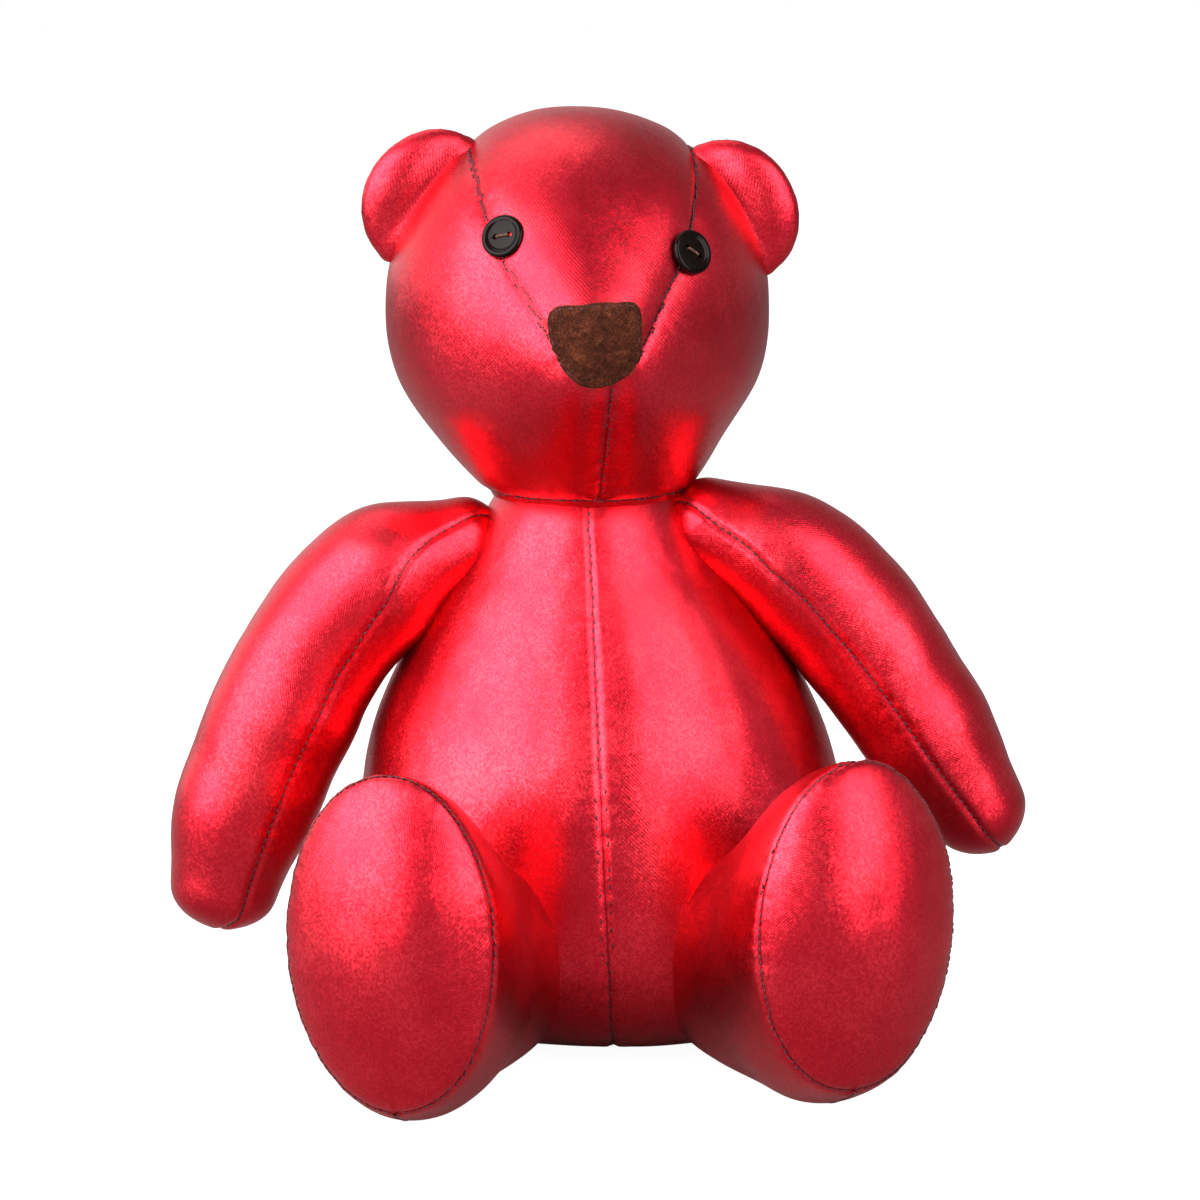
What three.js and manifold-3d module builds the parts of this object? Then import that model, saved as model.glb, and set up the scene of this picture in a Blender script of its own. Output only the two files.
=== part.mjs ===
// A seated stuffed teddy bear, sewn from metallic fabric panels over loose stuffing.
// Millimetres, +Z up. The bear faces -Y, its own left is +X, and the origin is the middle of the
// flat base that it sits on. Every fabric panel is a thin closed shell, every stuffed part has a
// core of filling inside its panels, and each limb swings in a pocket of its neighbour.

import * as THREE from 'three';
import { mergeVertices } from 'three/addons/utils/BufferGeometryUtils.js';
import Module from 'manifold-3d';

const wasm = await Module();
wasm.setup();

// ---- driving dimensions, mm ----
const CLOTH = 1.2;                 // fabric with its backing and seam allowance
const GAP = 0.3;                   // air between pieces that touch on the real toy
const CLEAR = 0.7;                 // room left round anything that moves
const FILL_GAP = 0.7;              // between a skin and its filling
const TIDIED = 0.08;               // facets flatter than this are merged in a finished piece
const SMOOTHED = 0.25;             // and in filling, and the room that a moving piece sweeps
const FAR = 900;                   // larger than the toy, for cutting tools

const SEAM_Z = 165;                // neck seam above the floor
const NECK_RADIUS = 30;            // neck seam
const LEAN = -0.045;               // sideways lean of the torso, mm per mm of height
const BASE_WIDE = 43;              // flat base panel under the torso
const BASE_DEEP = 29;
const BASE_BACK = 6;
const PIVOT = new THREE.Vector3(LEAN * SEAM_Z, 0, 144);
const DOME_RADIUS = 33;            // top of the torso, a ball about the neck pivot
const WAD_INNER = 34.2;
const WAD_OUTER = 36.8;
const WAD_LOW = 155;               // lowest point that the wad's rim nods to
const CUP_RADIUS = 38.4;           // hollow under the head, about the same pivot

const HEAD_CENTRE = new THREE.Vector3(-10.5, -3, 222);
const HEAD_RADIUS = 56.6;
const HEAD_DEPTH = 54;
const HEAD_YAW = THREE.MathUtils.degToRad(6);
const MUZZLE_REACH = 13;           // how far the muzzle stands out of the round head
const MUZZLE_SPREAD = 25;
const MUZZLE_DROP = -12;           // muzzle centre below the head's centre

const EYE_RADIUS = 6.4;            // 20-line two-hole button
const EYE_THICK = 3;
const EYE_AHEAD = 46;              // how far in front of the head's centre the eyes look out
const EYE_LIFT = 4;                // button's back above its own reach
const EYE_HOLE_RADIUS = 0.95;
const EYE_HOLE_OFFSET = 2.1;
const THREAD_RADIUS = 0.5;

const EAR_HALF_CHORD = 21;
const EAR_HEIGHT = 18;
const EAR_HALF_THICK = 6.5;
const EAR_Y = -8;                  // middle plane of both ears

const POUCH_HALF = [34, 25, 8];    // pellet pouch that keeps the toy sitting

const NOD = 10;                    // degrees, either way
const TURN = 15;
const ARM_LIFT = 40;
const LEG_LIFT = 20;
const ROOT_REACH = 45;             // how far from its hinge an arm's sewn end turns in the filling
const EAR_FOLD = 15;

const RED = 0xcf0f2c;
const materials = {
  cloth: { color: RED, roughness: 0.38, metalness: 0.55 },
  filling: { color: 0xe9e6df, roughness: 0.95, metalness: 0 },
  felt: { color: 0x4a2018, roughness: 0.95, metalness: 0 },
  button: { color: 0x2a1512, roughness: 0.15, metalness: 0 },
  thread: { color: 0x6b3a24, roughness: 0.8, metalness: 0 },
  pellets: { color: 0xd8d2c4, roughness: 0.9, metalness: 0 },
};

// ---- solids ----
const radians = THREE.MathUtils.degToRad;
const vec = (x, y, z) => new THREE.Vector3(x, y, z);

function signedVolume(points, triangles) {
  let sum = 0;
  const corner = [vec(0, 0, 0), vec(0, 0, 0), vec(0, 0, 0)];
  for (let i = 0; i < triangles.length; i += 3) {
    corner.forEach((c, k) => c.fromArray(points, 3 * triangles[i + k]));
    sum += corner[0].dot(corner[1].cross(corner[2]));
  }
  return sum;
}

function solidOf(geometry) {
  geometry.deleteAttribute('normal');
  geometry.deleteAttribute('uv');
  const merged = mergeVertices(geometry, 1e-4);
  const vertProperties = new Float32Array(merged.attributes.position.array);
  const triVerts = new Uint32Array(merged.index.array);
  if (signedVolume(vertProperties, triVerts) < 0) {
    for (let i = 0; i < triVerts.length; i += 3) {
      [triVerts[i], triVerts[i + 1]] = [triVerts[i + 1], triVerts[i]];
    }
  }
  const mesh = new wasm.Mesh({ numProp: 3, vertProperties, triVerts });
  mesh.merge();
  return new wasm.Manifold(mesh);
}

// A round closed form through rings. Each ring has a centre, two half sizes and the two
// directions that they are measured along. The first and last ring close it to a point.
function formThrough(rings, around) {
  const rows = rings.length - 1;
  const geometry = new THREE.SphereGeometry(1, around, rows);
  const position = geometry.attributes.position;
  const place = vec(0, 0, 0);
  for (let i = 0; i < position.count; i += 1) {
    const row = Math.floor(i / (around + 1));
    const turn = (2 * Math.PI * ((i % (around + 1)) % around)) / around;
    const ring = rings[row];
    place.copy(ring.at);
    place.addScaledVector(ring.u, ring.wide * Math.cos(turn));
    place.addScaledVector(ring.v, ring.deep * Math.sin(turn));
    if (ring.shift) ring.shift(place);
    position.setXYZ(i, place.x, place.y, place.z);
  }
  return solidOf(geometry);
}

function union(solids) {
  return solids.reduce((sum, next) => sum.add(next));
}

function largestPiece(solid) {
  const pieces = solid.decompose();
  return pieces.reduce((best, next) => (next.volume() > best.volume() ? next : best));
}

function placed(geometry, matrix) {
  geometry.applyMatrix4(matrix);
  return solidOf(geometry);
}

// Everything on the side of a plane that its normal points to.
function sideOf(point, normal) {
  const box = new THREE.BoxGeometry(FAR, FAR, FAR);
  box.translate(0, 0, FAR / 2);
  box.applyQuaternion(new THREE.Quaternion().setFromUnitVectors(vec(0, 0, 1), normal.clone().normalize()));
  box.translate(point.x, point.y, point.z);
  return solidOf(box);
}

// The same solid, turned about an axis through a point.
function turned(solid, point, axis, degrees) {
  const matrix = new THREE.Matrix4().makeTranslation(point.x, point.y, point.z);
  matrix.multiply(new THREE.Matrix4().makeRotationAxis(axis, radians(degrees)));
  matrix.multiply(new THREE.Matrix4().makeTranslation(-point.x, -point.y, -point.z));
  return solid.transform(matrix.elements);
}

function swept(solid, point, axis, angles) {
  return union(angles.map((angle) => turned(solid, point, axis, angle))).simplify(SMOOTHED);
}

const bear = new THREE.Group();

function addNode(name, solid, look) {
  const tolerance = look === 'filling' ? SMOOTHED : TIDIED;
  const mesh = largestPiece(solid.simplify(tolerance)).getMesh();
  const geometry = new THREE.BufferGeometry();
  geometry.setAttribute('position', new THREE.Float32BufferAttribute(mesh.vertProperties, 3));
  geometry.setIndex(new THREE.Uint32BufferAttribute(mesh.triVerts, 1));
  geometry.computeVertexNormals();
  const part = new THREE.Mesh(geometry, new THREE.MeshStandardMaterial(materials[look]));
  part.name = name;
  bear.add(part);
}

// ---- head ----
const X = vec(1, 0, 0);
const Y = vec(0, 1, 0);
const Z = vec(0, 0, 1);
const headRight = vec(Math.cos(HEAD_YAW), Math.sin(HEAD_YAW), 0);
const headBack = vec(-Math.sin(HEAD_YAW), Math.cos(HEAD_YAW), 0);

function pushMuzzle(place) {
  const from = place.clone().sub(HEAD_CENTRE);
  const facing = -from.dot(headBack);
  if (facing <= 0) return;
  const side = from.dot(headRight);
  const rise = from.z - MUZZLE_DROP;
  const fall = (side * side + rise * rise) / (MUZZLE_SPREAD * MUZZLE_SPREAD);
  place.addScaledVector(headBack, -MUZZLE_REACH * Math.exp(-fall));
}

function headRing(z, wide, deep, grow) {
  const low = THREE.MathUtils.clamp((z - SEAM_Z) / 18, 0, 1);
  const at = vec(
    THREE.MathUtils.lerp(PIVOT.x, HEAD_CENTRE.x, low),
    THREE.MathUtils.lerp(0, HEAD_CENTRE.y, low),
    z,
  );
  return { at, wide: wide + grow, deep: deep + grow, u: headRight, v: headBack, shift: pushMuzzle };
}

function headForm(grow) {
  const rings = [];
  rings.push({ at: vec(PIVOT.x, 0, 152), wide: 0, deep: 0, u: X, v: Y });
  rings.push(headRing(158, 22, 21, grow));
  rings.push(headRing(SEAM_Z, NECK_RADIUS, NECK_RADIUS, grow));
  rings.push(headRing(174, 37.2, 37.5, grow));
  rings.push(headRing(186, 45.5, 45, grow));
  rings.push(headRing(198, 52.8, 50.5, grow));
  rings.push(headRing(210, 56, 53, grow));
  for (let angle = 0; angle < 90; angle += 15) {
    const level = Math.cos(radians(angle));
    const z = HEAD_CENTRE.z + (HEAD_RADIUS + grow) * Math.sin(radians(angle));
    rings.push(headRing(z, (HEAD_RADIUS + grow) * level - grow, (HEAD_DEPTH + grow) * level - grow, grow));
  }
  const top = HEAD_CENTRE.clone().setZ(HEAD_CENTRE.z + HEAD_RADIUS + grow);
  rings.push({ at: top, wide: 0, deep: 0, u: X, v: Y });
  return formThrough(rings, 20);
}

const ball = (centre, radius, detail = 20) => placed(
  new THREE.SphereGeometry(radius, detail, detail / 2),
  new THREE.Matrix4().makeTranslation(centre.x, centre.y, centre.z),
);

// The gusset is the centre panel from the nose over the crown to the nape. The tool that cuts it
// is a wedge about the head's centre, whose half width follows these angles from the nose.
const GUSSET = [
  [-24, 1], [-12, 9], [0, 13], [22, 27], [50, 32], [80, 33], [120, 30], [170, 20], [215, 7], [232, 1],
];

const WEDGE_INNER = 20;
const WEDGE_OUTER = 100;
const WEDGE_END_GAP = 0.8;          // degrees

function gussetWidth(angle) {
  const after = GUSSET.findIndex(([at]) => at >= angle);
  if (after <= 0) return GUSSET[after < 0 ? GUSSET.length - 1 : 0][1];
  const [a0, w0] = GUSSET[after - 1];
  const [a1, w1] = GUSSET[after];
  return THREE.MathUtils.lerp(w0, w1, (angle - a0) / (a1 - a0));
}

// A box bent round the head's centre: its width is the gusset's, its height runs along the gusset.
function gussetWedge(grow) {
  const inset = grow < 0 ? WEDGE_END_GAP : 0;
  const start = GUSSET[0][0];
  const end = GUSSET[GUSSET.length - 1][0];
  const geometry = new THREE.BoxGeometry(2, 1, 1, 1, 24, 1);
  const position = geometry.attributes.position;
  for (let i = 0; i < position.count; i += 1) {
    const along = position.getY(i) + 0.5;
    const half = gussetWidth(THREE.MathUtils.lerp(start, end, along)) + grow;
    const angle = radians(THREE.MathUtils.lerp(start + inset, end - inset, along));
    const radius = position.getZ(i) > 0 ? WEDGE_OUTER : WEDGE_INNER;
    const place = HEAD_CENTRE.clone();
    place.addScaledVector(headRight, position.getX(i) * half);
    place.addScaledVector(headBack, -radius * Math.cos(angle));
    place.z += radius * Math.sin(angle);
    position.setXYZ(i, place.x, place.y, place.z);
  }
  return solidOf(geometry);
}

// ---- ears ----
// Each ear is a D-shaped pad on the side of the head. Its sewn edge is a half round bead about
// the line that it folds on, from a high inner end to a low outer end.
const ears = {
  left: { high: vec(24, EAR_Y, 267), low: vec(46, EAR_Y, 230) },
  right: { high: vec(-42, EAR_Y, 268.5), low: vec(-67, EAR_Y, 235) },
};

for (const ear of Object.values(ears)) {
  ear.along = ear.low.clone().sub(ear.high).normalize();
  ear.middle = ear.low.clone().add(ear.high).multiplyScalar(0.5);
  ear.out = vec(Math.abs(ear.along.z), 0, Math.abs(ear.along.x));
  ear.out.x *= Math.sign(ear.along.x);
}

// spread thickens the pad towards its free edge, by as much as folding moves it.
function earForm(ear, grow, spread = 0) {
  const rows = 8;
  const around = 12;
  const geometry = new THREE.SphereGeometry(1, around, rows);
  geometry.rotateZ(Math.PI / 2);
  const position = geometry.attributes.position;
  for (let i = 0; i < position.count; i += 1) {
    const outward = position.getY(i);
    const reach = outward > 0 ? EAR_HEIGHT : EAR_HALF_THICK;
    const place = ear.middle.clone();
    place.addScaledVector(ear.along, position.getX(i) * (EAR_HALF_CHORD + grow));
    place.addScaledVector(ear.out, outward * (reach + grow));
    const half = EAR_HALF_THICK + grow + spread * Math.max(0, outward);
    place.addScaledVector(Y, position.getZ(i) * half);
    position.setXYZ(i, place.x, place.y, place.z);
  }
  return solidOf(geometry);
}

// ---- limbs ----
// A limb is a row of stations, with a half ball at its sewn end.
function limbForm(limb, grow) {
  const curve = new THREE.CatmullRomCurve3(limb.spine.map((s) => vec(...s.at)), false, 'centripetal');
  const last = limb.spine.length - 1;
  const rings = [];
  const frameAt = (i) => {
    const along = curve.getTangent(i / last);
    return { along, u: limb.frame.u(along), v: limb.frame.v(along) };
  };
  const root = frameAt(0);
  const first = limb.spine[0];
  const rootAt = vec(...first.at);
  for (const angle of [90, 60, 30]) {
    const back = (first.wide + grow) * Math.sin(radians(angle));
    const level = Math.cos(radians(angle));
    rings.push({
      at: rootAt.clone().addScaledVector(root.along, -back),
      wide: angle === 90 ? 0 : (first.wide + grow) * level,
      deep: angle === 90 ? 0 : (first.deep + grow) * level,
      u: root.u,
      v: root.v,
    });
  }
  limb.spine.forEach((s, i) => {
    const { u, v } = frameAt(i);
    rings.push({ at: vec(...s.at), wide: s.wide + grow, deep: s.deep + grow, u, v });
  });
  const tip = frameAt(last);
  const end = limb.spine[last];
  const reach = limb.tip + grow;
  for (const angle of [35, 65, 90]) {
    const level = Math.cos(radians(angle));
    rings.push({
      at: vec(...end.at).addScaledVector(tip.along, reach * Math.sin(radians(angle))),
      wide: angle === 90 ? 0 : (end.wide + grow) * level,
      deep: angle === 90 ? 0 : (end.deep + grow) * level,
      u: tip.u,
      v: tip.v,
    });
  }
  return formThrough(rings, limb.around);
}

const armFrame = { u: (along) => Y.clone().cross(along).normalize(), v: () => Y.clone() };
const legFrame = { u: (along) => Z.clone().cross(along).normalize(), v: () => Z.clone() };

const arms = {
  left: {
    spine: [
      { at: [29, -2, 152], wide: 19, deep: 18 },
      { at: [50, -4, 147], wide: 20.5, deep: 18.5 },
      { at: [69, -6, 129], wide: 21.5, deep: 19 },
      { at: [87, -8, 104], wide: 20.5, deep: 19 },
      { at: [98, -9, 87], wide: 19, deep: 18 },
      { at: [108.5, -9, 71], wide: 15, deep: 15 },
    ],
    tip: 15,
    around: 10,
    frame: armFrame,
    axis: vec(0, -1, 0),
  },
  right: {
    spine: [
      { at: [-44, -2, 150], wide: 19, deep: 18 },
      { at: [-63, -4, 144], wide: 20.5, deep: 18.5 },
      { at: [-82, -6, 127], wide: 21.5, deep: 19 },
      { at: [-97, -8, 102], wide: 22, deep: 19.5 },
      { at: [-106, -9, 82], wide: 21.5, deep: 19 },
      { at: [-113.5, -9, 62], wide: 20, deep: 17.5 },
      { at: [-117, -9, 47], wide: 16.5, deep: 14.5 },
    ],
    tip: 14,
    around: 10,
    frame: armFrame,
    axis: vec(0, 1, 0),
  },
};

const legs = {
  left: {
    spine: [
      { at: [37, -22, 30], wide: 29, deep: 30 },
      { at: [43, -44, 33], wide: 30, deep: 33 },
      { at: [53, -68, 42], wide: 30, deep: 42 },
      { at: [61, -88, 50], wide: 31.5, deep: 48 },
      { at: [67, -104, 57], wide: 30.5, deep: 46.5 },
    ],
    tip: 11,
  },
  right: {
    spine: [
      { at: [-38, -24, 30], wide: 29, deep: 30 },
      { at: [-43, -48, 33], wide: 30, deep: 33 },
      { at: [-51, -76, 41], wide: 30, deep: 41 },
      { at: [-57, -100, 48], wide: 31.5, deep: 47 },
      { at: [-61, -116, 54], wide: 30.5, deep: 46.5 },
    ],
    tip: 11,
  },
};

for (const leg of Object.values(legs)) {
  leg.around = 12;
  leg.frame = legFrame;
  const ahead = vec(...leg.spine[4].at).sub(vec(...leg.spine[0].at)).setZ(0).normalize();
  leg.ahead = ahead;
  leg.axis = vec(ahead.y, -ahead.x, 0);
}

const anglesTo = (limit, steps) => Array.from({ length: steps + 1 }, (_, i) => (limit * i) / steps);

for (const arm of Object.values(arms)) {
  arm.hinge = vec(...arm.spine[0].at);
  arm.room = limbForm(arm, CLEAR).simplify(SMOOTHED);
  const root = arm.room.intersect(ball(arm.hinge, ROOT_REACH));
  arm.rootRoom = swept(root, arm.hinge, arm.axis, anglesTo(ARM_LIFT, 3));
}
for (const leg of Object.values(legs)) {
  leg.hinge = vec(...leg.spine[0].at);
  leg.room = swept(limbForm(leg, CLEAR), leg.hinge, leg.axis, anglesTo(LEG_LIFT, 2));
}
for (const ear of Object.values(ears)) {
  ear.room = earForm(ear, CLEAR, 2 * EAR_HEIGHT * Math.sin(radians(EAR_FOLD)));
}

// ---- torso ----
// Height, half width, half depth and how far back the middle is.
const TORSO_RINGS = [
  [0, BASE_WIDE, BASE_DEEP, BASE_BACK], [3.5, 53, 41, 4], [10, 62.5, 51, 2], [22, 70.5, 58.5, 0],
  [40, 75, 62.5, 0], [64, 74.5, 62, 0], [88, 70, 58.5, 0], [106, 63.5, 53, 0],
  [124, 54, 46, 0], [138, 44.5, 39.5, 0], [148, 37, 34.5, 0],
];

function torsoForm(grow) {
  const rings = [];
  const ringAt = (z, wide, deep, back) => ({ at: vec(LEAN * z, back, z), wide, deep, u: X, v: Y });
  rings.push(ringAt(-grow, 0, 0, BASE_BACK));
  for (const [z, wide, deep, back] of TORSO_RINGS) {
    rings.push(ringAt(z === 0 ? -grow : z, wide + grow, deep + grow, back));
  }
  for (const angle of [25, 42, 60, 76]) {
    const radius = DOME_RADIUS + grow;
    rings.push({
      at: PIVOT.clone().setZ(PIVOT.z + radius * Math.sin(radians(angle))),
      wide: radius * Math.cos(radians(angle)),
      deep: radius * Math.cos(radians(angle)),
      u: X,
      v: Y,
    });
  }
  rings.push({ at: PIVOT.clone().setZ(PIVOT.z + DOME_RADIUS + grow), wide: 0, deep: 0, u: X, v: Y });
  return formThrough(rings, 20);
}

function roundPlate(wide, deep, low, high) {
  const geometry = new THREE.CylinderGeometry(1, 1, high - low, 24);
  geometry.rotateX(Math.PI / 2);
  geometry.scale(wide, deep, 1);
  geometry.translate(0, BASE_BACK, (low + high) / 2);
  return solidOf(geometry);
}

const limbRoom = union([arms.left.room, arms.right.room, legs.left.room, legs.right.room]);
const basePlate = roundPlate(BASE_WIDE, BASE_DEEP, 0, CLOTH).subtract(limbRoom);
const baseRoom = roundPlate(BASE_WIDE + GAP, BASE_DEEP + GAP, -1, CLOTH + GAP);

const pouchGeometry = new THREE.SphereGeometry(1, 16, 8);
pouchGeometry.rotateX(Math.PI / 2);
const pouchLift = CLOTH + 2 * GAP + POUCH_HALF[2];
pouchGeometry.scale(...POUCH_HALF);
pouchGeometry.translate(0, BASE_BACK, pouchLift);
const pouch = solidOf(pouchGeometry).subtract(limbRoom);
const pouchTop = pouchLift + POUCH_HALF[2] + GAP;
const pouchRoom = roundPlate(POUCH_HALF[0] + FILL_GAP, POUCH_HALF[1] + FILL_GAP, -1, pouchTop);

const torsoSkin = torsoForm(0).subtract(torsoForm(-CLOTH)).subtract(limbRoom).subtract(baseRoom);
const torsoFilling = torsoForm(-CLOTH - FILL_GAP)
  .subtract(limbRoom)
  .subtract(arms.left.rootRoom)
  .subtract(arms.right.rootRoom)
  .subtract(pouchRoom);
const legGap = GAP / 2;
for (const [name, sx, sy] of [
  ['torso_front_left', 1, -1], ['torso_front_right', -1, -1], ['torso_back_left', 1, 1],
  ['torso_back_right', -1, 1],
]) {
  const leanPlane = vec(sx, 0, -sx * LEAN);
  const half = sideOf(vec(sx * legGap, 0, 0), leanPlane);
  const face = sideOf(vec(0, sy * legGap, 0), vec(0, sy, 0));
  addNode(name, torsoSkin.intersect(half).intersect(face), 'cloth');
}
addNode('torso_base', basePlate, 'cloth');
addNode('torso_stuffing', torsoFilling, 'filling');
addNode('seat_pellet_pouch', pouch, 'pellets');

// ---- neck ----
const wad = ball(PIVOT, WAD_OUTER)
  .subtract(ball(PIVOT, WAD_INNER))
  .intersect(sideOf(PIVOT.clone().setZ(SEAM_Z - 1.5), Z));
addNode('neck_wad', wad, 'filling');

// ---- head pieces ----
const neckHollow = ball(PIVOT, CUP_RADIUS);
const earRoom = ears.left.room.add(ears.right.room);
const headSkin = headForm(0).subtract(headForm(-CLOTH)).subtract(neckHollow).subtract(earRoom);

function onHead(side, z) {
  // A point straight in front of the given place on the face, well outside the head.
  return HEAD_CENTRE.clone().addScaledVector(headRight, side).setZ(z);
}

// Eye buttons lie on the gusset seams, facing out of the round of the head.
const eyes = {
  left: { side: 28, z: 239, reach: 50.5, spin: 35 },
  right: { side: -26.5, z: 243, reach: 49.5, spin: -12 },
};

function eyeFrame(eye) {
  const facing = headRight.clone().multiplyScalar(eye.side).addScaledVector(headBack, -EYE_AHEAD);
  facing.z += eye.z - HEAD_CENTRE.z;
  facing.normalize();
  const at = HEAD_CENTRE.clone().addScaledVector(facing, eye.reach + EYE_LIFT);
  const across = vec(0, 0, 1).cross(facing).normalize();
  const up = facing.clone().cross(across).normalize();
  const frame = new THREE.Matrix4().makeBasis(across, up, facing);
  frame.setPosition(at);
  return frame.multiply(new THREE.Matrix4().makeRotationZ(radians(eye.spin)));
}

function buttonSolid(frame) {
  const r = EYE_RADIUS;
  const outline = [
    new THREE.Vector2(0, 0),
    new THREE.Vector2(r - 1.2, 0),
    new THREE.Vector2(r, 1),
    new THREE.Vector2(r - 0.3, 2),
    new THREE.Vector2(r - 1.1, EYE_THICK),
    new THREE.Vector2(r - 1.9, EYE_THICK - 0.2),
    new THREE.Vector2(r - 2.3, EYE_THICK - 0.8),
    new THREE.Vector2(0, EYE_THICK - 0.8),
  ];
  const geometry = new THREE.LatheGeometry(outline, 18);
  geometry.rotateX(Math.PI / 2);
  return placed(withoutSlivers(geometry), frame);
}

// A lathe leaves triangles without area on its axis.
function withoutSlivers(geometry) {
  geometry.deleteAttribute('normal');
  geometry.deleteAttribute('uv');
  const merged = mergeVertices(geometry, 1e-4);
  const kept = [];
  const index = merged.index.array;
  for (let i = 0; i < index.length; i += 3) {
    const [a, b, c] = [index[i], index[i + 1], index[i + 2]];
    if (a !== b && b !== c && c !== a) kept.push(a, b, c);
  }
  merged.setIndex(kept);
  return merged;
}

function pinSolid(x, radius, low, high, frame) {
  const geometry = new THREE.CylinderGeometry(radius, radius, high - low, 8);
  geometry.rotateX(Math.PI / 2);
  geometry.translate(x, 0, (low + high) / 2);
  return placed(geometry, frame);
}

function threadSolid(frame) {
  const radius = THREAD_RADIUS;
  const pins = [-1, 1].map((s) => pinSolid(s * EYE_HOLE_OFFSET, radius, -7, 3.2, frame));
  const bridges = [2.8, -6.6].map((level) => {
    const bar = new THREE.BoxGeometry(2 * (EYE_HOLE_OFFSET + radius), 2 * radius, 0.9);
    bar.translate(0, 0, level);
    return placed(bar, frame);
  });
  return union([...pins, ...bridges]);
}

const eyeRooms = [];
for (const [side, eye] of Object.entries(eyes)) {
  const frame = eyeFrame(eye);
  const holes = [-1, 1].map((s) => pinSolid(s * EYE_HOLE_OFFSET, EYE_HOLE_RADIUS, -2, 5, frame));
  addNode(`${side}_eye_button`, buttonSolid(frame).subtract(union(holes)), 'button');
  addNode(`${side}_eye_thread`, threadSolid(frame), 'thread');
  const seat = new THREE.CylinderGeometry(EYE_RADIUS + CLEAR, EYE_RADIUS + CLEAR, EYE_THICK, 12);
  seat.rotateX(Math.PI / 2);
  seat.translate(0, 0, EYE_THICK / 2 - GAP);
  const shaft = new THREE.BoxGeometry(2 * (EYE_HOLE_OFFSET + 1.1), 2.4, 8.5);
  shaft.translate(0, 0, -4);
  eyeRooms.push(placed(seat, frame), placed(shaft, frame));
}
const eyeRoom = union(eyeRooms);

// The felt nose lies on the muzzle, over the lower end of the gusset.
function noseOutline(grow) {
  const shape = new THREE.Shape();
  const top = 10.5 + grow;
  const half = 13.2 + grow;
  shape.moveTo(-half + 1, top - 1);
  shape.lineTo(half - 0.5, top);
  shape.quadraticCurveTo(half + 0.8, 2, half - 1, -1);
  shape.bezierCurveTo(half - 3, -7, 5, -11 - grow, 1, -11 - grow);
  shape.bezierCurveTo(-5, -11 - grow, -half + 1, -4, -half, top - 3);
  shape.closePath();
  return shape;
}

const NOSE_Z = 214;
const NOSE_SIDE = -1.4;
const nosePlug = new THREE.ExtrudeGeometry(noseOutline(0), {
  depth: 90, bevelEnabled: false, curveSegments: 6,
});
const noseFrame = new THREE.Matrix4().makeBasis(headRight, Z, headBack.clone().negate());
noseFrame.setPosition(onHead(NOSE_SIDE, NOSE_Z));
const noseBand = headForm(GAP + 1.3).subtract(headForm(GAP));
addNode('nose_felt', noseBand.intersect(placed(nosePlug, noseFrame)), 'felt');

const headSideSkin = headSkin.subtract(gussetWedge(GAP / 2)).subtract(eyeRoom);
addNode('head_gusset', headSkin.intersect(gussetWedge(-GAP / 2)).subtract(eyeRoom), 'cloth');
for (const [side, sign] of [['left', 1], ['right', -1]]) {
  const normal = headRight.clone().multiplyScalar(sign);
  const point = HEAD_CENTRE.clone().addScaledVector(normal, GAP / 2);
  addNode(`head_${side}_side`, headSideSkin.intersect(sideOf(point, normal)), 'cloth');
}
const headFilling = headForm(-CLOTH - FILL_GAP).subtract(neckHollow).subtract(earRoom).subtract(eyeRoom);
addNode('head_stuffing', headFilling, 'filling');

for (const [side, ear] of Object.entries(ears)) {
  const skin = earForm(ear, 0).subtract(earForm(ear, -CLOTH));
  addNode(`${side}_ear_front`, skin.intersect(sideOf(vec(0, EAR_Y - GAP / 2, 0), vec(0, -1, 0))), 'cloth');
  addNode(`${side}_ear_back`, skin.intersect(sideOf(vec(0, EAR_Y + GAP / 2, 0), Y)), 'cloth');
  addNode(`${side}_ear_stuffing`, earForm(ear, -CLOTH - FILL_GAP), 'filling');
}

// ---- arms ----
const SHOULDER_TOP = 200;          // no shoulder reaches this high

// The head sweeps past the shoulders as it nods and turns, so the shoulders leave it room.
function headSweep() {
  const form = headForm(CLEAR).intersect(sideOf(vec(0, 0, SHOULDER_TOP), vec(0, 0, -1)));
  const poses = [];
  for (const turn of [-TURN, 0, TURN]) {
    for (const nod of [-NOD, 0, NOD]) {
      poses.push(turned(turned(form, PIVOT, Z, turn), PIVOT, X, nod));
    }
  }
  const wadReach = ball(PIVOT, WAD_OUTER + CLEAR).intersect(sideOf(PIVOT.clone().setZ(WAD_LOW), Z));
  return union([wadReach, ...poses]).simplify(SMOOTHED);
}

const headRoom = headSweep();

function armSeamKnife(arm, shift) {
  const points = arm.spine.map((s) => new THREE.Vector2(s.at[0], s.at[2]));
  const first = points[0];
  const last = points[points.length - 1];
  const before = points[points.length - 2];
  const outline = new THREE.Shape();
  const sign = Math.sign(last.x);
  outline.moveTo(first.x - sign * FAR / 2 + shift * sign, first.y + 8);
  for (const p of points) outline.lineTo(p.x + shift * sign, p.y + shift);
  const slope = last.clone().sub(before).normalize();
  const beyond = last.clone().addScaledVector(slope, FAR);
  outline.lineTo(beyond.x + shift * sign, beyond.y + shift);
  outline.lineTo(sign * FAR * 1.5, -FAR);
  outline.lineTo(sign * FAR * 1.5, FAR);
  outline.lineTo(first.x - sign * FAR / 2 + shift * sign, FAR);
  outline.closePath();
  const geometry = new THREE.ExtrudeGeometry(outline, { depth: FAR, bevelEnabled: false });
  geometry.translate(0, 0, -FAR / 2);
  geometry.rotateX(Math.PI / 2);
  return solidOf(geometry);
}

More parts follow.
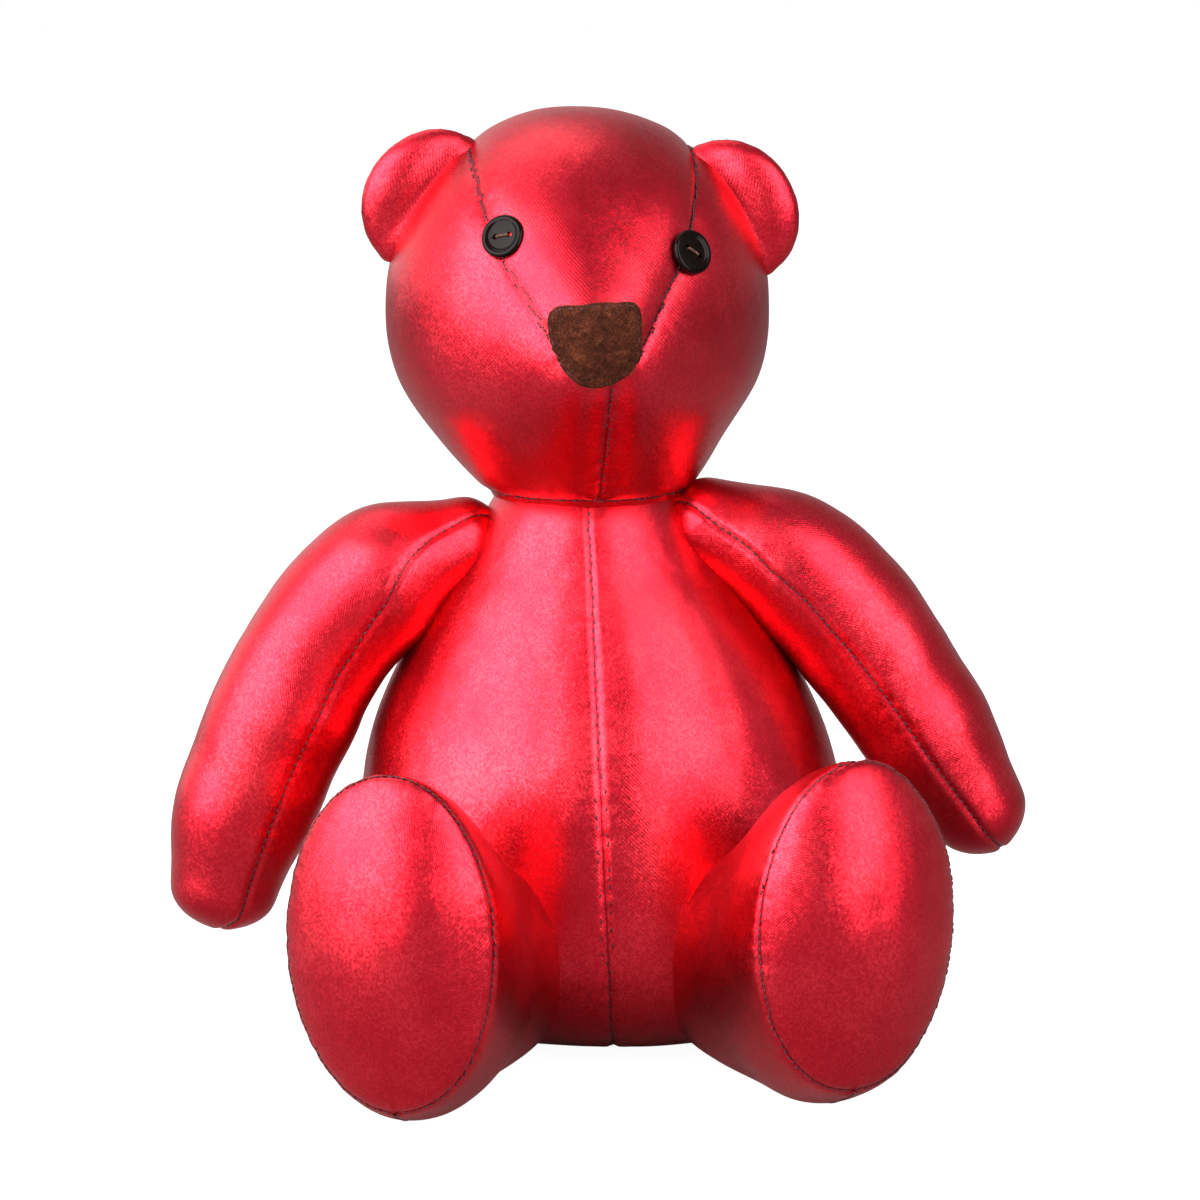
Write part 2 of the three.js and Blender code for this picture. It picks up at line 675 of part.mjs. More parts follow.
for (const [side, arm] of Object.entries(arms)) {
  const back = arm.axis.clone();
  const room = union(anglesTo(ARM_LIFT, 2).map((angle) => turned(headRoom, arm.hinge, back, -angle)));
  const skin = limbForm(arm, 0).subtract(limbForm(arm, -CLOTH)).subtract(room);
  addNode(`${side}_arm_outer`, skin.intersect(armSeamKnife(arm, GAP / 2)), 'cloth');
  addNode(`${side}_arm_inner`, skin.subtract(armSeamKnife(arm, -GAP / 2)), 'cloth');
  addNode(`${side}_arm_stuffing`, limbForm(arm, -CLOTH - FILL_GAP).subtract(room), 'filling');
}

// ---- legs ----
// Both legs lie on the floor, and they leave each other room in the middle.
for (const [side, leg] of Object.entries(legs)) {
  const sign = side === 'left' ? 1 : -1;
  const ownSide = sideOf(vec(sign * CLEAR / 2 + 2, 0, 0), vec(sign, 0, 0));
  const aboveFloor = sideOf(vec(0, 0, 0), Z);
  const keep = ownSide.intersect(aboveFloor);
  const outer = limbForm(leg, 0).intersect(keep);
  const skin = outer.subtract(limbForm(leg, -CLOTH));
  const rim = vec(...leg.spine[4].at);
  const soleNormal = leg.ahead;
  const front = sideOf(rim.clone().addScaledVector(soleNormal, GAP), soleNormal);
  const rest = sideOf(rim, soleNormal.clone().negate());
  const across = vec(-leg.ahead.y, leg.ahead.x, 0).multiplyScalar(sign);
  const body = skin.intersect(rest);
  addNode(`${side}_leg_sole`, skin.intersect(front), 'cloth');
  addNode(
    `${side}_leg_outer`,
    body.intersect(sideOf(rim.clone().addScaledVector(across, GAP / 2), across)),
    'cloth',
  );
  addNode(
    `${side}_leg_inner`,
    body.intersect(sideOf(rim.clone().addScaledVector(across, -GAP / 2), across.clone().negate())),
    'cloth',
  );
  addNode(`${side}_leg_stuffing`, limbForm(leg, -CLOTH - FILL_GAP).intersect(keep), 'filling');
}

export default bear;
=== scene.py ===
"""A seated stuffed teddy bear, sewn from red metallic fabric, on a pale studio floor.

Shapes are worked out in millimetres with the frame's own numbers and become metres when their
mesh is made. Each stuffed part is one closed skin: rings along its length make a smooth form,
a cloth simulation lets it swell between its sewn lines, and the seams are pressed in after.
"""
import math
import random

import bpy
import numpy as np
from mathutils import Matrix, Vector, noise
from mathutils.bvhtree import BVHTree
from mathutils.kdtree import KDTree


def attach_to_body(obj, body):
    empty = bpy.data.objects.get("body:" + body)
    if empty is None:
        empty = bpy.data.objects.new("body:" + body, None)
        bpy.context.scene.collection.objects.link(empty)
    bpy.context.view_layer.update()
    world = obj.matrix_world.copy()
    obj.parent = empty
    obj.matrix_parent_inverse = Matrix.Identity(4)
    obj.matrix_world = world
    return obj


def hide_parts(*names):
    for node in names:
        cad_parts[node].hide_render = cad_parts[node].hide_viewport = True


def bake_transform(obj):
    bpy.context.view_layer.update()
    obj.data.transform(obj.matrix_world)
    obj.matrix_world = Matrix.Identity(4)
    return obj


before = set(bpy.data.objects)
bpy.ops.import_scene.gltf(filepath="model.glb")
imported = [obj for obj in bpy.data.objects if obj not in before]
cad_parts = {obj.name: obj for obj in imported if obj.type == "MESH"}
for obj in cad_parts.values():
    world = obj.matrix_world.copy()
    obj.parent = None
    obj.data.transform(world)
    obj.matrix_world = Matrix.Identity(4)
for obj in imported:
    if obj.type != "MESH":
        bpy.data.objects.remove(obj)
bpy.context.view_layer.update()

MM = 0.001
FINE = 1.1          # spacing of the skins' points
COARSE = 6.0                          # spacing of the points that are simulated
DENSE_RINGS = 900                     # rings that a form is worked out on before it is evened out
LINE_STEP = 0.5                       # spacing of the points on a seam's line
SIM_FRAMES = 18
STITCH_LENGTH = 1.55
STITCH_WIDTH = 0.56
X_AXIS = np.array([1.0, 0.0, 0.0])
Y_AXIS = np.array([0.0, 1.0, 0.0])
Z_AXIS = np.array([0.0, 0.0, 1.0])

# ---- sizes that the frame was made with, mm ----
SEAM_Z = 165.0
LEAN = -0.045
NECK = np.array([LEAN * SEAM_Z, 0.0, 144.0])
DOME_RADIUS = 35.0
HEAD = np.array([-10.5, -3.0, 222.0])
HEAD_RADIUS = 56.6
HEAD_DEPTH = 54.0
HEAD_YAW = math.radians(6)
HEAD_RIGHT = np.array([math.cos(HEAD_YAW), math.sin(HEAD_YAW), 0.0])
HEAD_BACK = np.array([-math.sin(HEAD_YAW), math.cos(HEAD_YAW), 0.0])
MUZZLE_REACH = 13.0
MUZZLE_SPREAD = 25.0
MUZZLE_DROP = -12.0


# ---- forms ----
def smooth_rows(knots, rows, at):
    """A natural cubic spline through the rows, evaluated at each value of at."""
    knots = np.asarray(knots, float)
    rows = np.asarray(rows, float)
    count = len(knots)
    gaps = np.diff(knots)
    system = np.eye(count)
    right = np.zeros_like(rows)
    for i in range(1, count - 1):
        system[i, i - 1:i + 2] = gaps[i - 1], 2 * (gaps[i - 1] + gaps[i]), gaps[i]
        after = (rows[i + 1] - rows[i]) / gaps[i]
        before = (rows[i] - rows[i - 1]) / gaps[i - 1]
        right[i] = 6 * (after - before)
    bend = np.linalg.solve(system, right)
    k = np.clip(np.searchsorted(knots, at, side="right") - 1, 0, count - 2)
    b = ((at - knots[k]) / gaps[k])[:, None]
    a = 1 - b
    curved = (a ** 3 - a) * bend[k] + (b ** 3 - b) * bend[k + 1]
    return a * rows[k] + b * rows[k + 1] + curved * (gaps[k] ** 2)[:, None] / 6


def ring(at, wide, deep, u=X_AXIS, v=Y_AXIS):
    """One oval section of a form: its centre, half width and half depth, and their directions."""
    return np.concatenate([at, [wide, deep], u, v])


def rim_point(rows, angle):
    """The point at an angle on each ring."""
    return (rows[:, 0:3]
            + rows[:, 3:4] * np.cos(angle) * rows[:, 5:8]
            + rows[:, 4:5] * np.sin(angle) * rows[:, 8:11])


def arc_lengths(rows, lines=8):
    """Distance travelled over the surface from the first ring, averaged over a few lines."""
    total = np.zeros(len(rows))
    for angle in np.linspace(0, 2 * math.pi, lines, endpoint=False):
        steps = np.linalg.norm(np.diff(rim_point(rows, angle), axis=0), axis=1)
        total[1:] += np.cumsum(steps)
    return total / lines


def spline_rings(rings, lead, tail):
    """Dense rings on a smooth form. lead and tail count the rings that only steer its ends."""
    rings = np.array(rings)
    knots = arc_lengths(rings, 4)
    rows = smooth_rows(knots, rings, np.linspace(knots[lead], knots[-1 - tail], DENSE_RINGS))
    for first in (5, 8):
        length = np.linalg.norm(rows[:, first:first + 3], axis=1)
        rows[:, first:first + 3] /= length[:, None]
    return rows


def evenly(rows, spacing):
    """The rings of a form, about one spacing apart over its surface."""
    arc = arc_lengths(rows)
    count = max(6, int(round(arc[-1] / spacing)))
    at = np.linspace(0, arc[-1], count + 1)
    return np.stack([np.interp(at, arc, rows[:, k]) for k in range(rows.shape[1])], axis=1)


def grid_of(rows, around, shift=None):
    """The points of a form, ring by ring; shift may move them all."""
    angles = np.arange(around) * (2 * math.pi / around)
    across = rows[:, None, 3:4] * np.cos(angles)[None, :, None] * rows[:, None, 5:8]
    through = rows[:, None, 4:5] * np.sin(angles)[None, :, None] * rows[:, None, 8:11]
    grid = rows[:, None, 0:3] + across + through
    if shift is not None:
        grid = shift(grid)
    return grid


def grid_faces(rows, around):
    """Quads between inner rings, and a fan of triangles at each end."""
    last = 1 + (rows - 2) * around
    pairs = [(j, (j + 1) % around) for j in range(around)]
    faces = [(0, 1 + after, 1 + j) for j, after in pairs]
    for low in range(1, last - around, around):
        high = low + around
        faces += [(low + j, low + after, high + after, high + j) for j, after in pairs]
    faces += [(last - around + j, last - around + after, last) for j, after in pairs]
    return faces


def grid_points(grid):
    """The grid as one list of points, in which each end is a single point."""
    inner = grid[1:-1].reshape(-1, 3)
    return np.concatenate([grid[:1, 0], inner, grid[-1:, 0]])


def put_back(grid, points):
    """Moves a grid's points, in the order of grid_points, back into the grid."""
    out = grid.copy()
    out[0] = points[0]
    out[-1] = points[-1]
    out[1:-1] = points[1:-1].reshape(grid[1:-1].shape)
    return out


def outward(points, faces):
    """The faces, turned round if they enclose a negative volume."""
    volume = 0.0
    for face in faces:
        a, b, c = points[face[0]], points[face[1]], points[face[2]]
        volume += np.dot(a, np.cross(b, c))
        if len(face) == 4:
            d = points[face[3]]
            volume += np.dot(a, np.cross(c, d))
    if volume < 0:
        return [tuple(reversed(face)) for face in faces]
    return faces


def new_mesh(name, points, faces):
    mesh = bpy.data.meshes.new(name)
    mesh.from_pydata((np.asarray(points) * MM).tolist(), [], faces)
    mesh.update()
    mesh.polygons.foreach_set("use_smooth", np.ones(len(mesh.polygons), bool))
    obj = bpy.data.objects.new(name, mesh)
    bpy.context.scene.collection.objects.link(obj)
    return obj


def discard(obj):
    mesh = obj.data
    bpy.data.objects.remove(obj)
    bpy.data.meshes.remove(mesh)


def normals_of(obj):
    values = np.zeros(3 * len(obj.data.vertices), np.float32)
    obj.data.vertex_normals.foreach_get("vector", values)
    return values.reshape(-1, 3).astype(float)


def set_points(obj, points):
    obj.data.vertices.foreach_set("co", (points * MM).astype(np.float32).ravel())
    obj.data.update()


def add_weave(obj, grid, rows):
    """UVs in metres over the surface, for the weave of the cloth."""
    arc = arc_lengths(rows)
    around = grid.shape[1]
    girth = 2 * math.pi * float(np.median((rows[:, 3] + rows[:, 4]) / 2))
    uv = obj.data.uv_layers.new(name="cloth_metres").data
    end = len(obj.data.vertices) - 1
    for polygon in obj.data.polygons:
        corners = [obj.data.loops[k].vertex_index for k in polygon.loop_indices]
        known = [(index - 1) % around for index in corners if 0 < index < end]
        wraps = max(known) - min(known) > around / 2
        for k, index in zip(polygon.loop_indices, corners):
            column, row = max(known), 0 if index == 0 else -1
            if 0 < index < end:
                column, row = (index - 1) % around, 1 + (index - 1) // around
            if wraps and column < around / 2:
                column += around
            uv[k].uv = (column / around * girth * MM, arc[row] * MM)


# ---- seams ----
SEAM_USUAL = {"groove": 0.7, "valley": 0.8, "reach": 5.0, "pucker": 0.16}
GROOVE_WIDTH = 0.95
CREASE_REACH = 2.5                    # how far from a seam its crease and its painted shade still show
PUCKER_OFF = 2.2                      # how far beside a seam the cloth puckers most
RIPPLE_LONG = 3.1                     # lengths along a seam of its longer and shorter puckers
RIPPLE_SHORT = 1.3
STITCH_TILT = (-9, 13)                # degrees that stitches lean by turns, and their unevenness
STITCH_TILT_VARIES = 6
TICK_TILT = math.radians(62)
STITCH_SECTIONS = ((-0.5, 0.25), (-0.36, 0.9), (0.0, 1.0), (0.36, 0.9), (0.5, 0.25))


def even_line(points):
    """The same line with its points one step apart."""
    points = np.asarray(points, float)
    arc = np.concatenate([[0], np.cumsum(np.linalg.norm(np.diff(points, axis=0), axis=1))])
    at = np.linspace(0, arc[-1], max(2, int(round(arc[-1] / LINE_STEP)) + 1))
    return np.stack([np.interp(at, arc, points[:, k]) for k in range(3)], axis=1)


def softened(points, passes):
    points = points.copy()
    for _ in range(passes):
        points[1:-1] = (points[:-2] + 2 * points[1:-1] + points[2:]) / 4
    return points


def meridian(grid, first, last, angle):
    """A line along the form at an angle, or at angles that follow a function of the way along."""
    count = len(grid)
    around = grid.shape[1]
    start = int(round(first * (count - 1)))
    stop = int(round(last * (count - 1)))
    line = []
    for i in range(start, stop + 1):
        turn = angle(i / (count - 1)) if callable(angle) else angle
        column = (turn / (2 * math.pi) * around) % around
        low = int(column)
        part = column - low
        line.append((1 - part) * grid[i, low % around] + part * grid[i, (low + 1) % around])
    return np.array(line)


def loop_at(grid, row):
    return np.concatenate([grid[row], grid[row, :1]])


def row_at(grid, z):
    """The row of a standing form whose mean height is nearest to z."""
    return int(np.argmin(np.abs(grid[:, :, 2].mean(axis=1) - z)))


def near_tree(samples):
    tree = KDTree(len(samples))
    for k, sample in enumerate(samples):
        tree.insert(sample, k)
    tree.balance()
    return tree


def find_seams(points, seams):
    """For each point: distance to the nearest seam, the place there, the seam's direction at it,
    how far along the seam it is, and which seam it is."""
    samples = np.concatenate([seam["line"] for seam in seams])
    tangents = np.concatenate([np.gradient(seam["line"], axis=0) for seam in seams])
    arcs = np.concatenate([np.arange(len(seam["line"])) * LINE_STEP for seam in seams])
    owner = np.concatenate([np.full(len(seam["line"]), k) for k, seam in enumerate(seams)])
    tree = near_tree(samples)
    found = [tree.find(point)[1:] for point in points]
    index = np.array([item[0] for item in found])
    distance = np.array([item[1] for item in found])
    return distance, samples[index], tangents[index], arcs[index], owner[index]


def press_seams(obj, points, seams):
    """Draws the skin in along its seams and leaves their distance on it for the material.

    A seam may say how deep its groove is, how deep and wide the valley round it is, and how much
    the cloth beside it puckers.
    """
    normals = normals_of(obj)
    distance, nearest, tangents, arcs, owner = find_seams(points, seams)
    across = np.cross(tangents, normals)
    side = np.sign(np.einsum("ij,ij->i", across, points - nearest))
    side[side == 0] = 1
    groove, valley, reach, pucker = (
        np.array([seam.get(key, usual) for seam in seams])[owner]
        for key, usual in SEAM_USUAL.items()
    )
    ripple = np.array([
        noise.noise(Vector((arc / RIPPLE_LONG, 4.7 * own, 0.0)))
        + 0.6 * noise.noise(Vector((arc / RIPPLE_SHORT, own, 3.0)))
        for arc, own in zip(arcs, owner)
    ])
    move = -groove * np.exp(-(distance / GROOVE_WIDTH) ** 2)
    move -= valley * np.exp(-(distance / reach) ** 2)
    move += pucker * ripple * np.exp(-((distance - PUCKER_OFF) / PUCKER_OFF) ** 2)
    moved = points + normals * move[:, None]
    moved[:, 2] = np.maximum(moved[:, 2], 0.0)
    set_points(obj, moved)
    store(obj, "seam_side", side * distance)
    store(obj, "seam_near", np.exp(-(distance / CREASE_REACH) ** 2))


def store(obj, name, values):
    layer = obj.data.attributes.new(name, "FLOAT", "POINT")
    layer.data.foreach_set("value", np.asarray(values, np.float32))


def surface_tree(obj):
    mesh = obj.data
    points = [v.co.copy() for v in mesh.vertices]
    return BVHTree.FromPolygons(points, [tuple(p.vertices) for p in mesh.polygons])


def rounded(middle, a, b, corners):
    """A ring of points about a middle, with half sizes and directions a and b."""
    turns = [2 * math.pi * corner / corners for corner in range(corners)]
    return [middle + a * math.cos(turn) + b * math.sin(turn) for turn in turns]


def add_rod(verts, faces, rings, capped=False):
    """Adds a rod that goes through rings of points to a mesh's lists."""
    base = len(verts)
    around = len(rings[0])
    for points in rings:
        verts.extend(points)
    for low in range(base, base + around * (len(rings) - 1), around):
        for corner in range(around):
            after = (corner + 1) % around
            high = low + around
            faces.append((low + corner, low + after, high + after, high + corner))
    if capped:
        top = len(verts) - around
        faces.append(tuple(base + around - 1 - corner for corner in range(around)))
        faces.append(tuple(top + corner for corner in range(around)))


def thread_run(tree, line, pitch, length, width, drift, rng, tick=0.0):
    """Stitches along a line: short flattened rods with round ends, each lying on the cloth.

    drift moves them off the line, and tick adds a short stitch across each, as a zigzag has.
    """
    verts = []
    faces = []
    every = max(1, int(round(pitch / LINE_STEP)))
    for k in range(every, len(line) - 1, every):
        hit = tree.find_nearest(Vector(line[k] * MM))
        if hit[0] is None:
            continue
        centre = np.array(hit[0]) / MM
        up = np.array(hit[1])
        along = line[k + 1] - line[k - 1]
        along -= up * np.dot(along, up)
        size = np.linalg.norm(along)
        if size < 1e-6:
            continue
        along /= size
        across = np.cross(up, along)
        varied = rng.uniform(-STITCH_TILT_VARIES, STITCH_TILT_VARIES)
        turn = math.radians(STITCH_TILT[k // every % 2] + varied)
        stitches = [(turn, length, 0.0)]
        if tick:
            stitches.append((turn + TICK_TILT, length * 0.55, pitch * 0.45))
        for angle, long, onward in stitches:
            direction = along * math.cos(angle) + across * math.sin(angle)
            beside = np.cross(up, direction)
            middle = centre + across * (drift + rng.uniform(-0.1, 0.1)) + along * onward
            rings = [rounded(middle + direction * place * long + up * width * 0.06 * fat,
                             beside * width * 0.5 * fat, up * width * 0.36 * fat, 6)
                     for place, fat in STITCH_SECTIONS]
            add_rod(verts, faces, rings, capped=True)
    return verts, faces


def sew(name, skin, seams, attach):
    """One object with all the stitches of a skin, handed to the same attach as the skin.

    A seam's rows are parts of it, from and to, with how far off the line each row of stitches is.
    """
    tree = surface_tree(skin)
    rng = random.Random(name)
    verts = []
    faces = []
    for seam in seams:
        line = seam["line"]
        for start, stop, drifts in seam.get("rows", ((0.0, 1.0, (0.0,)),)):
            piece = line[int(start * (len(line) - 1)):int(stop * (len(line) - 1)) + 1]
            if len(piece) < 8:
                continue
            for drift in drifts:
                more, shape = thread_run(tree, piece, seam.get("pitch", 2.0), STITCH_LENGTH,
                                         STITCH_WIDTH, drift, rng, seam.get("tick", 0.0))
                shape = [tuple(index + len(verts) for index in face) for face in shape]
                verts.extend(more)
                faces.extend(shape)
    stitches = new_mesh(name, np.array(verts), faces)
    stitches.data.materials.append(SEAM_THREAD)
    attach(stitches)
    return stitches


# ---- cloth simulation ----
CLOTH = {"quality": 4, "mass": 0.12, "tension_stiffness": 12, "compression_stiffness": 12,
         "shear_stiffness": 4, "bending_stiffness": 4, "use_pressure": True, "shrink_min": 0.0}


def swell(name, rows, around, shift, pinned, pressure, most):
    """Blows a coarse copy of a form up like a stuffed cover, held at the pinned points.

    Returns its movement on a grid, nowhere longer than most.
    """
    coarse = evenly(rows, COARSE)
    count = max(14, int(round(around * FINE / COARSE)))
    grid = grid_of(coarse, count, shift)
    points = grid_points(grid)
    faces = outward(points, grid_faces(len(coarse), count))
    obj = new_mesh(name, points, faces)
    tree = near_tree(pinned)
    group = obj.vertex_groups.new(name="sewn")
    for k, point in enumerate(points):
        distance = tree.find(point)[2]
        group.add([k], 1.0 if distance < 0.6 * COARSE else 0.0, "REPLACE")
    cloth = obj.modifiers.new("stuffed", "CLOTH")
    settings = cloth.settings
    for key, value in CLOTH.items():
        setattr(settings, key, value)
    settings.uniform_pressure_force = pressure
    settings.effector_weights.gravity = 0
    settings.vertex_group_mass = group.name
    scene = bpy.context.scene
    for step in range(1, SIM_FRAMES + 1):
        scene.frame_set(step)
    depsgraph = bpy.context.evaluated_depsgraph_get()
    result = obj.evaluated_get(depsgraph).to_mesh()
    moved = np.zeros(3 * len(result.vertices), np.float32)
    result.vertices.foreach_get("co", moved)
    move = moved.reshape(-1, 3) / MM - points
    length = np.linalg.norm(move, axis=1)
    move *= (most * np.tanh(length / most) / np.maximum(length, 1e-9))[:, None]
    discard(obj)
    scene.frame_set(1)
    return put_back(np.zeros_like(grid), move)


def spread_over(coarse, rows, around):
    """Carries a coarse grid's movement to a fine grid, smoothly in both directions."""
    count, columns = coarse.shape[:2]
    at = np.linspace(0, count - 1, rows)
    along = smooth_rows(np.arange(count), coarse.reshape(count, -1), at).reshape(rows, columns, 3)
    extra = 4
    wrapped = np.concatenate([along[:, -extra:], along, along[:, :extra]], axis=1)
    turns = np.arange(-extra, columns + extra)
    at = np.arange(around) * columns / around
    flat = np.transpose(wrapped, (1, 0, 2)).reshape(len(turns), -1)
    out = smooth_rows(turns, flat, at).reshape(around, rows, 3)
    return np.transpose(out, (1, 0, 2))


# ---- the stuffed skins ----
def lumps(points, normals, size, height, seed, along=None, squeeze=1.0):
    """Unevenness of the filling, in patches of about a size, squeezed along one direction."""
    values = np.zeros(len(points))
    for k, point in enumerate(points):
        place = Vector(point / size)
        if along is not None:
            place += Vector(along) * place.dot(Vector(along)) * (squeeze - 1)
        values[k] = noise.noise(place + Vector((seed * 7.3, seed * 3.1, seed * 5.7)))
    return normals * (values * height)[:, None]


def stuffed(name, rows, flat_rows=None, end_rows=None, shift=None, pins=None, pressure=3.0,
            most=2.5, uneven=(), rest_z=None):
    """Makes a skin from dense rings, with a flat start or end of rings that are taken as given.

    pins gives the points of a grid that the simulation holds, uneven the filling's patches, and
    rest_z the level that the skin is flattened to. Returns the object, its grid and its rings.
    """
    even = evenly(rows, FINE)
    parts = [even]
    if flat_rows is not None:
        parts.insert(0, flat_rows)
    if end_rows is not None:
        parts.append(end_rows)
    even = np.concatenate(parts)
    girth = 2 * math.pi * float(np.max((even[:, 3] + even[:, 4]) / 2))
    around = 4 * int(round(girth / FINE / 4))
    grid = grid_of(even, around, shift)
    if pins is not None:
        movement = swell(name + "_sim", even, around, shift, pins(grid), pressure, most)
        grid = grid + spread_over(movement, len(even), around)
        grid[0] = grid[0].mean(axis=0)
        grid[-1] = grid[-1].mean(axis=0)
    points = grid_points(grid)
    faces = outward(points, grid_faces(len(even), around))
    skin = new_mesh(name, points, faces)
    add_weave(skin, grid, even)
    normals = normals_of(skin)
    for patches in uneven:
        points = points + lumps(points, normals, *patches)
    if rest_z is not None:
        low = points[:, 2] - rest_z
        points[:, 2] = rest_z + np.where(low < 3, 3 * np.exp((np.minimum(low, 3) - 3) / 3), low)
    grid = put_back(grid, points)
    set_points(skin, points)
    skin.data.materials.append(RED_CLOTH)
    return skin, grid, even


def finish_skin(name, skin, grid, seams, attach, replaced):
    """Presses and sews a skin's seams, hides the frame's parts that it replaces, and hands the skin to
    attach.
    """
    press_seams(skin, grid_points(grid), seams)
    sew(name + "_stitches", skin, seams, attach)
    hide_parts(*replaced)
    attach(skin)


def blender_of(start, end):
    """A function that bakes a piece's transform into its mesh. start and end are not used."""
    start = tuple(float(v) * MM for v in start)
    end = tuple(float(v) * MM for v in end)
    return lambda obj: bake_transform(obj)


# ---- materials ----
RIB_SPACING = 0.00078                 # metres between the twill's ribs, and between cross threads
THREAD_SPACING = 0.0006
CREASE_WIDTH = 0.55                   # mm that a seam's crease, with its painted shade, reaches to each side
WHITE = (1.0, 1.0, 1.0, 1.0)


class Graph:
    """A node tree, with a short call for each kind of node that is used here."""

    def __init__(self, owner):
        owner.use_nodes = True
        self.nodes = owner.node_tree.nodes
        self.links = owner.node_tree.links

    def feed(self, sockets, values):
        """Sets sockets to plain values, or links other nodes' outputs to them."""
        for key, value in values.items():
            if isinstance(value, bpy.types.NodeSocket):
                self.links.new(value, sockets[key])
            else:
                sockets[key].default_value = value

    def add(self, kind, inputs, **settings):
        node = self.nodes.new("ShaderNode" + kind)
        for key, value in settings.items():
            setattr(node, key, value)
        self.feed(node.inputs, inputs)
        return node.outputs

    def math(self, operation, *inputs):
        return self.add("Math", dict(enumerate(inputs)), operation=operation)[0]

    def vector(self, operation, inputs):
        return self.add("VectorMath", inputs, operation=operation)[0]

    def attribute(self, name):
        return self.add("Attribute", {}, attribute_name=name)["Fac"]

    def noise(self, place, scale, detail=2.0, rough=0.5):
        return self.add("TexNoise", {"Vector": place, "Scale": scale, "Detail": detail,
                                     "Roughness": rough})["Fac"]

    def bump(self, height, distance, strength, **under):
        return self.add("Bump", {"Height": height, "Distance": distance, "Strength": strength,
                                 **under})["Normal"]

    def mix(self, factor, first, second, blend="MIX"):
        return self.add("Mix", {"Factor": factor, 6: first, 7: second}, data_type="RGBA",
                        blend_type=blend)[2]

    def ramp(self, value, *stops):
        node = self.nodes.new("ShaderNodeValToRGB")
        self.links.new(value, node.inputs["Fac"])
        ramp = node.color_ramp
        while len(ramp.elements) < len(stops):
            ramp.elements.new(1.0)
        for element, (position, colour) in zip(ramp.elements, stops):
            element.position = position
            element.color = (*colour, 1.0)
        return node.outputs["Color"]

    def grey_ramp(self, value, *stops):
        return self.ramp(value, *((position, (grey, grey, grey)) for position, grey in stops))


def material(name):
    """A new material, its graph, the inputs of its shader, and the coordinates of the object."""
    made = bpy.data.materials.new(name)
    graph = Graph(made)
    return made, graph, graph.nodes["Principled BSDF"].inputs, graph.add("TexCoord", {})["Object"]


def red_cloth():
    """Woven cloth with a red metallic face: a fine twill, glints, and painted shade that darkens its
    sewn creases.
    """
    made, graph, shader, solid = material("red_metallic_cloth")
    uv = graph.add("UVMap", {}, uv_map="cloth_metres")["UV"]
    apart = graph.add("SeparateXYZ", {0: uv})
    u, v = apart["X"], apart["Y"]

    # twill ribs run diagonally, wandering a little, with cross threads between them
    slide = graph.math("MULTIPLY", graph.noise(solid, 90.0), 0.0009)
    diagonal = graph.math("ADD", u, graph.math("MULTIPLY", v, 0.62))
    diagonal = graph.math("ADD", diagonal, slide)
    rib = graph.math("SINE", graph.math("MULTIPLY", diagonal, 2 * math.pi / RIB_SPACING))
    other = graph.math("SUBTRACT", graph.math("MULTIPLY", u, 0.4), v)
    cross = graph.math("SINE", graph.math("MULTIPLY", other, 2 * math.pi / THREAD_SPACING))
    weave = graph.math("MULTIPLY_ADD", cross, 0.45, rib)

    # flakes of foil, each leaning its own way
    flake = graph.add("TexVoronoi", {"Vector": solid, "Scale": 1700.0})["Color"]
    lean = graph.vector("SUBTRACT", {0: flake, 1: (0.5, 0.5, 0.5)})
    lean = graph.vector("SCALE", {0: lean, "Scale": 0.10})

    # creases where the cloth is drawn into a seam, with painted shade that darkens their colour
    off = graph.math("ABSOLUTE", graph.attribute("seam_side"))
    crease_and_painted_shade = graph.math("SUBTRACT", 1.0, graph.math("DIVIDE", off, CREASE_WIDTH))
    crease_and_painted_shade = graph.math("MAXIMUM", crease_and_painted_shade, 0.0)
    crease_and_painted_shade = graph.math("MULTIPLY", crease_and_painted_shade, graph.attribute("seam_near"))
    height = graph.math("MULTIPLY_ADD", crease_and_painted_shade, -16.0, weave)
    normal = graph.bump(height, 0.00006, 0.16)
    normal = graph.bump(graph.noise(solid, 140.0, 3.0), 0.0005, 0.06, Normal=normal)
    normal = graph.vector("NORMALIZE", {0: graph.vector("ADD", {0: normal, 1: lean})})

    patches = graph.noise(solid, 42.0, 3.0, 0.6)
    glint = graph.add("SeparateXYZ", {0: flake})
    colour = graph.ramp(
        graph.math("MULTIPLY_ADD", glint["Z"], 0.35, patches),
        (0.25, (0.50, 0.003, 0.013)),
        (0.62, (0.60, 0.008, 0.025)),
        (1.0, (0.72, 0.028, 0.046)),
    )
    # painted shade: the cloth's colour is darkened almost to black-red along each seam's crease
    colour = graph.mix(graph.math("MULTIPLY", crease_and_painted_shade, 0.85), colour, (0.10, 0.0, 0.006, 1.0))
    rough = graph.math("MULTIPLY_ADD", patches, 0.10, 0.245)
    rough = graph.math("MULTIPLY_ADD", glint["X"], 0.08, rough)
    graph.feed(shader, {"Normal": normal, "Base Color": colour, "Roughness": rough, "Metallic": 1.0,
                        "Coat Weight": 0.24, "Coat IOR": 1.5, "Coat Roughness": 0.3})
    return made


def thread(name, fineness, dark, light, strength, rough):
    """Twisted thread; dark and light are stops of its colour, set by the same noise as its bump:
    painted shade between its plies and a painted highlight on top.
    """
    made, graph, shader, solid = material(name)
    ply = graph.noise(solid, fineness)
    # painted shade and highlight: the colour follows the ply bump, dark in its hollows and light on
    # its tops
    graph.feed(shader, {"Base Color": graph.ramp(ply, dark, light),
                        "Normal": graph.bump(ply, 0.0002, strength), "Roughness": rough})
    return made


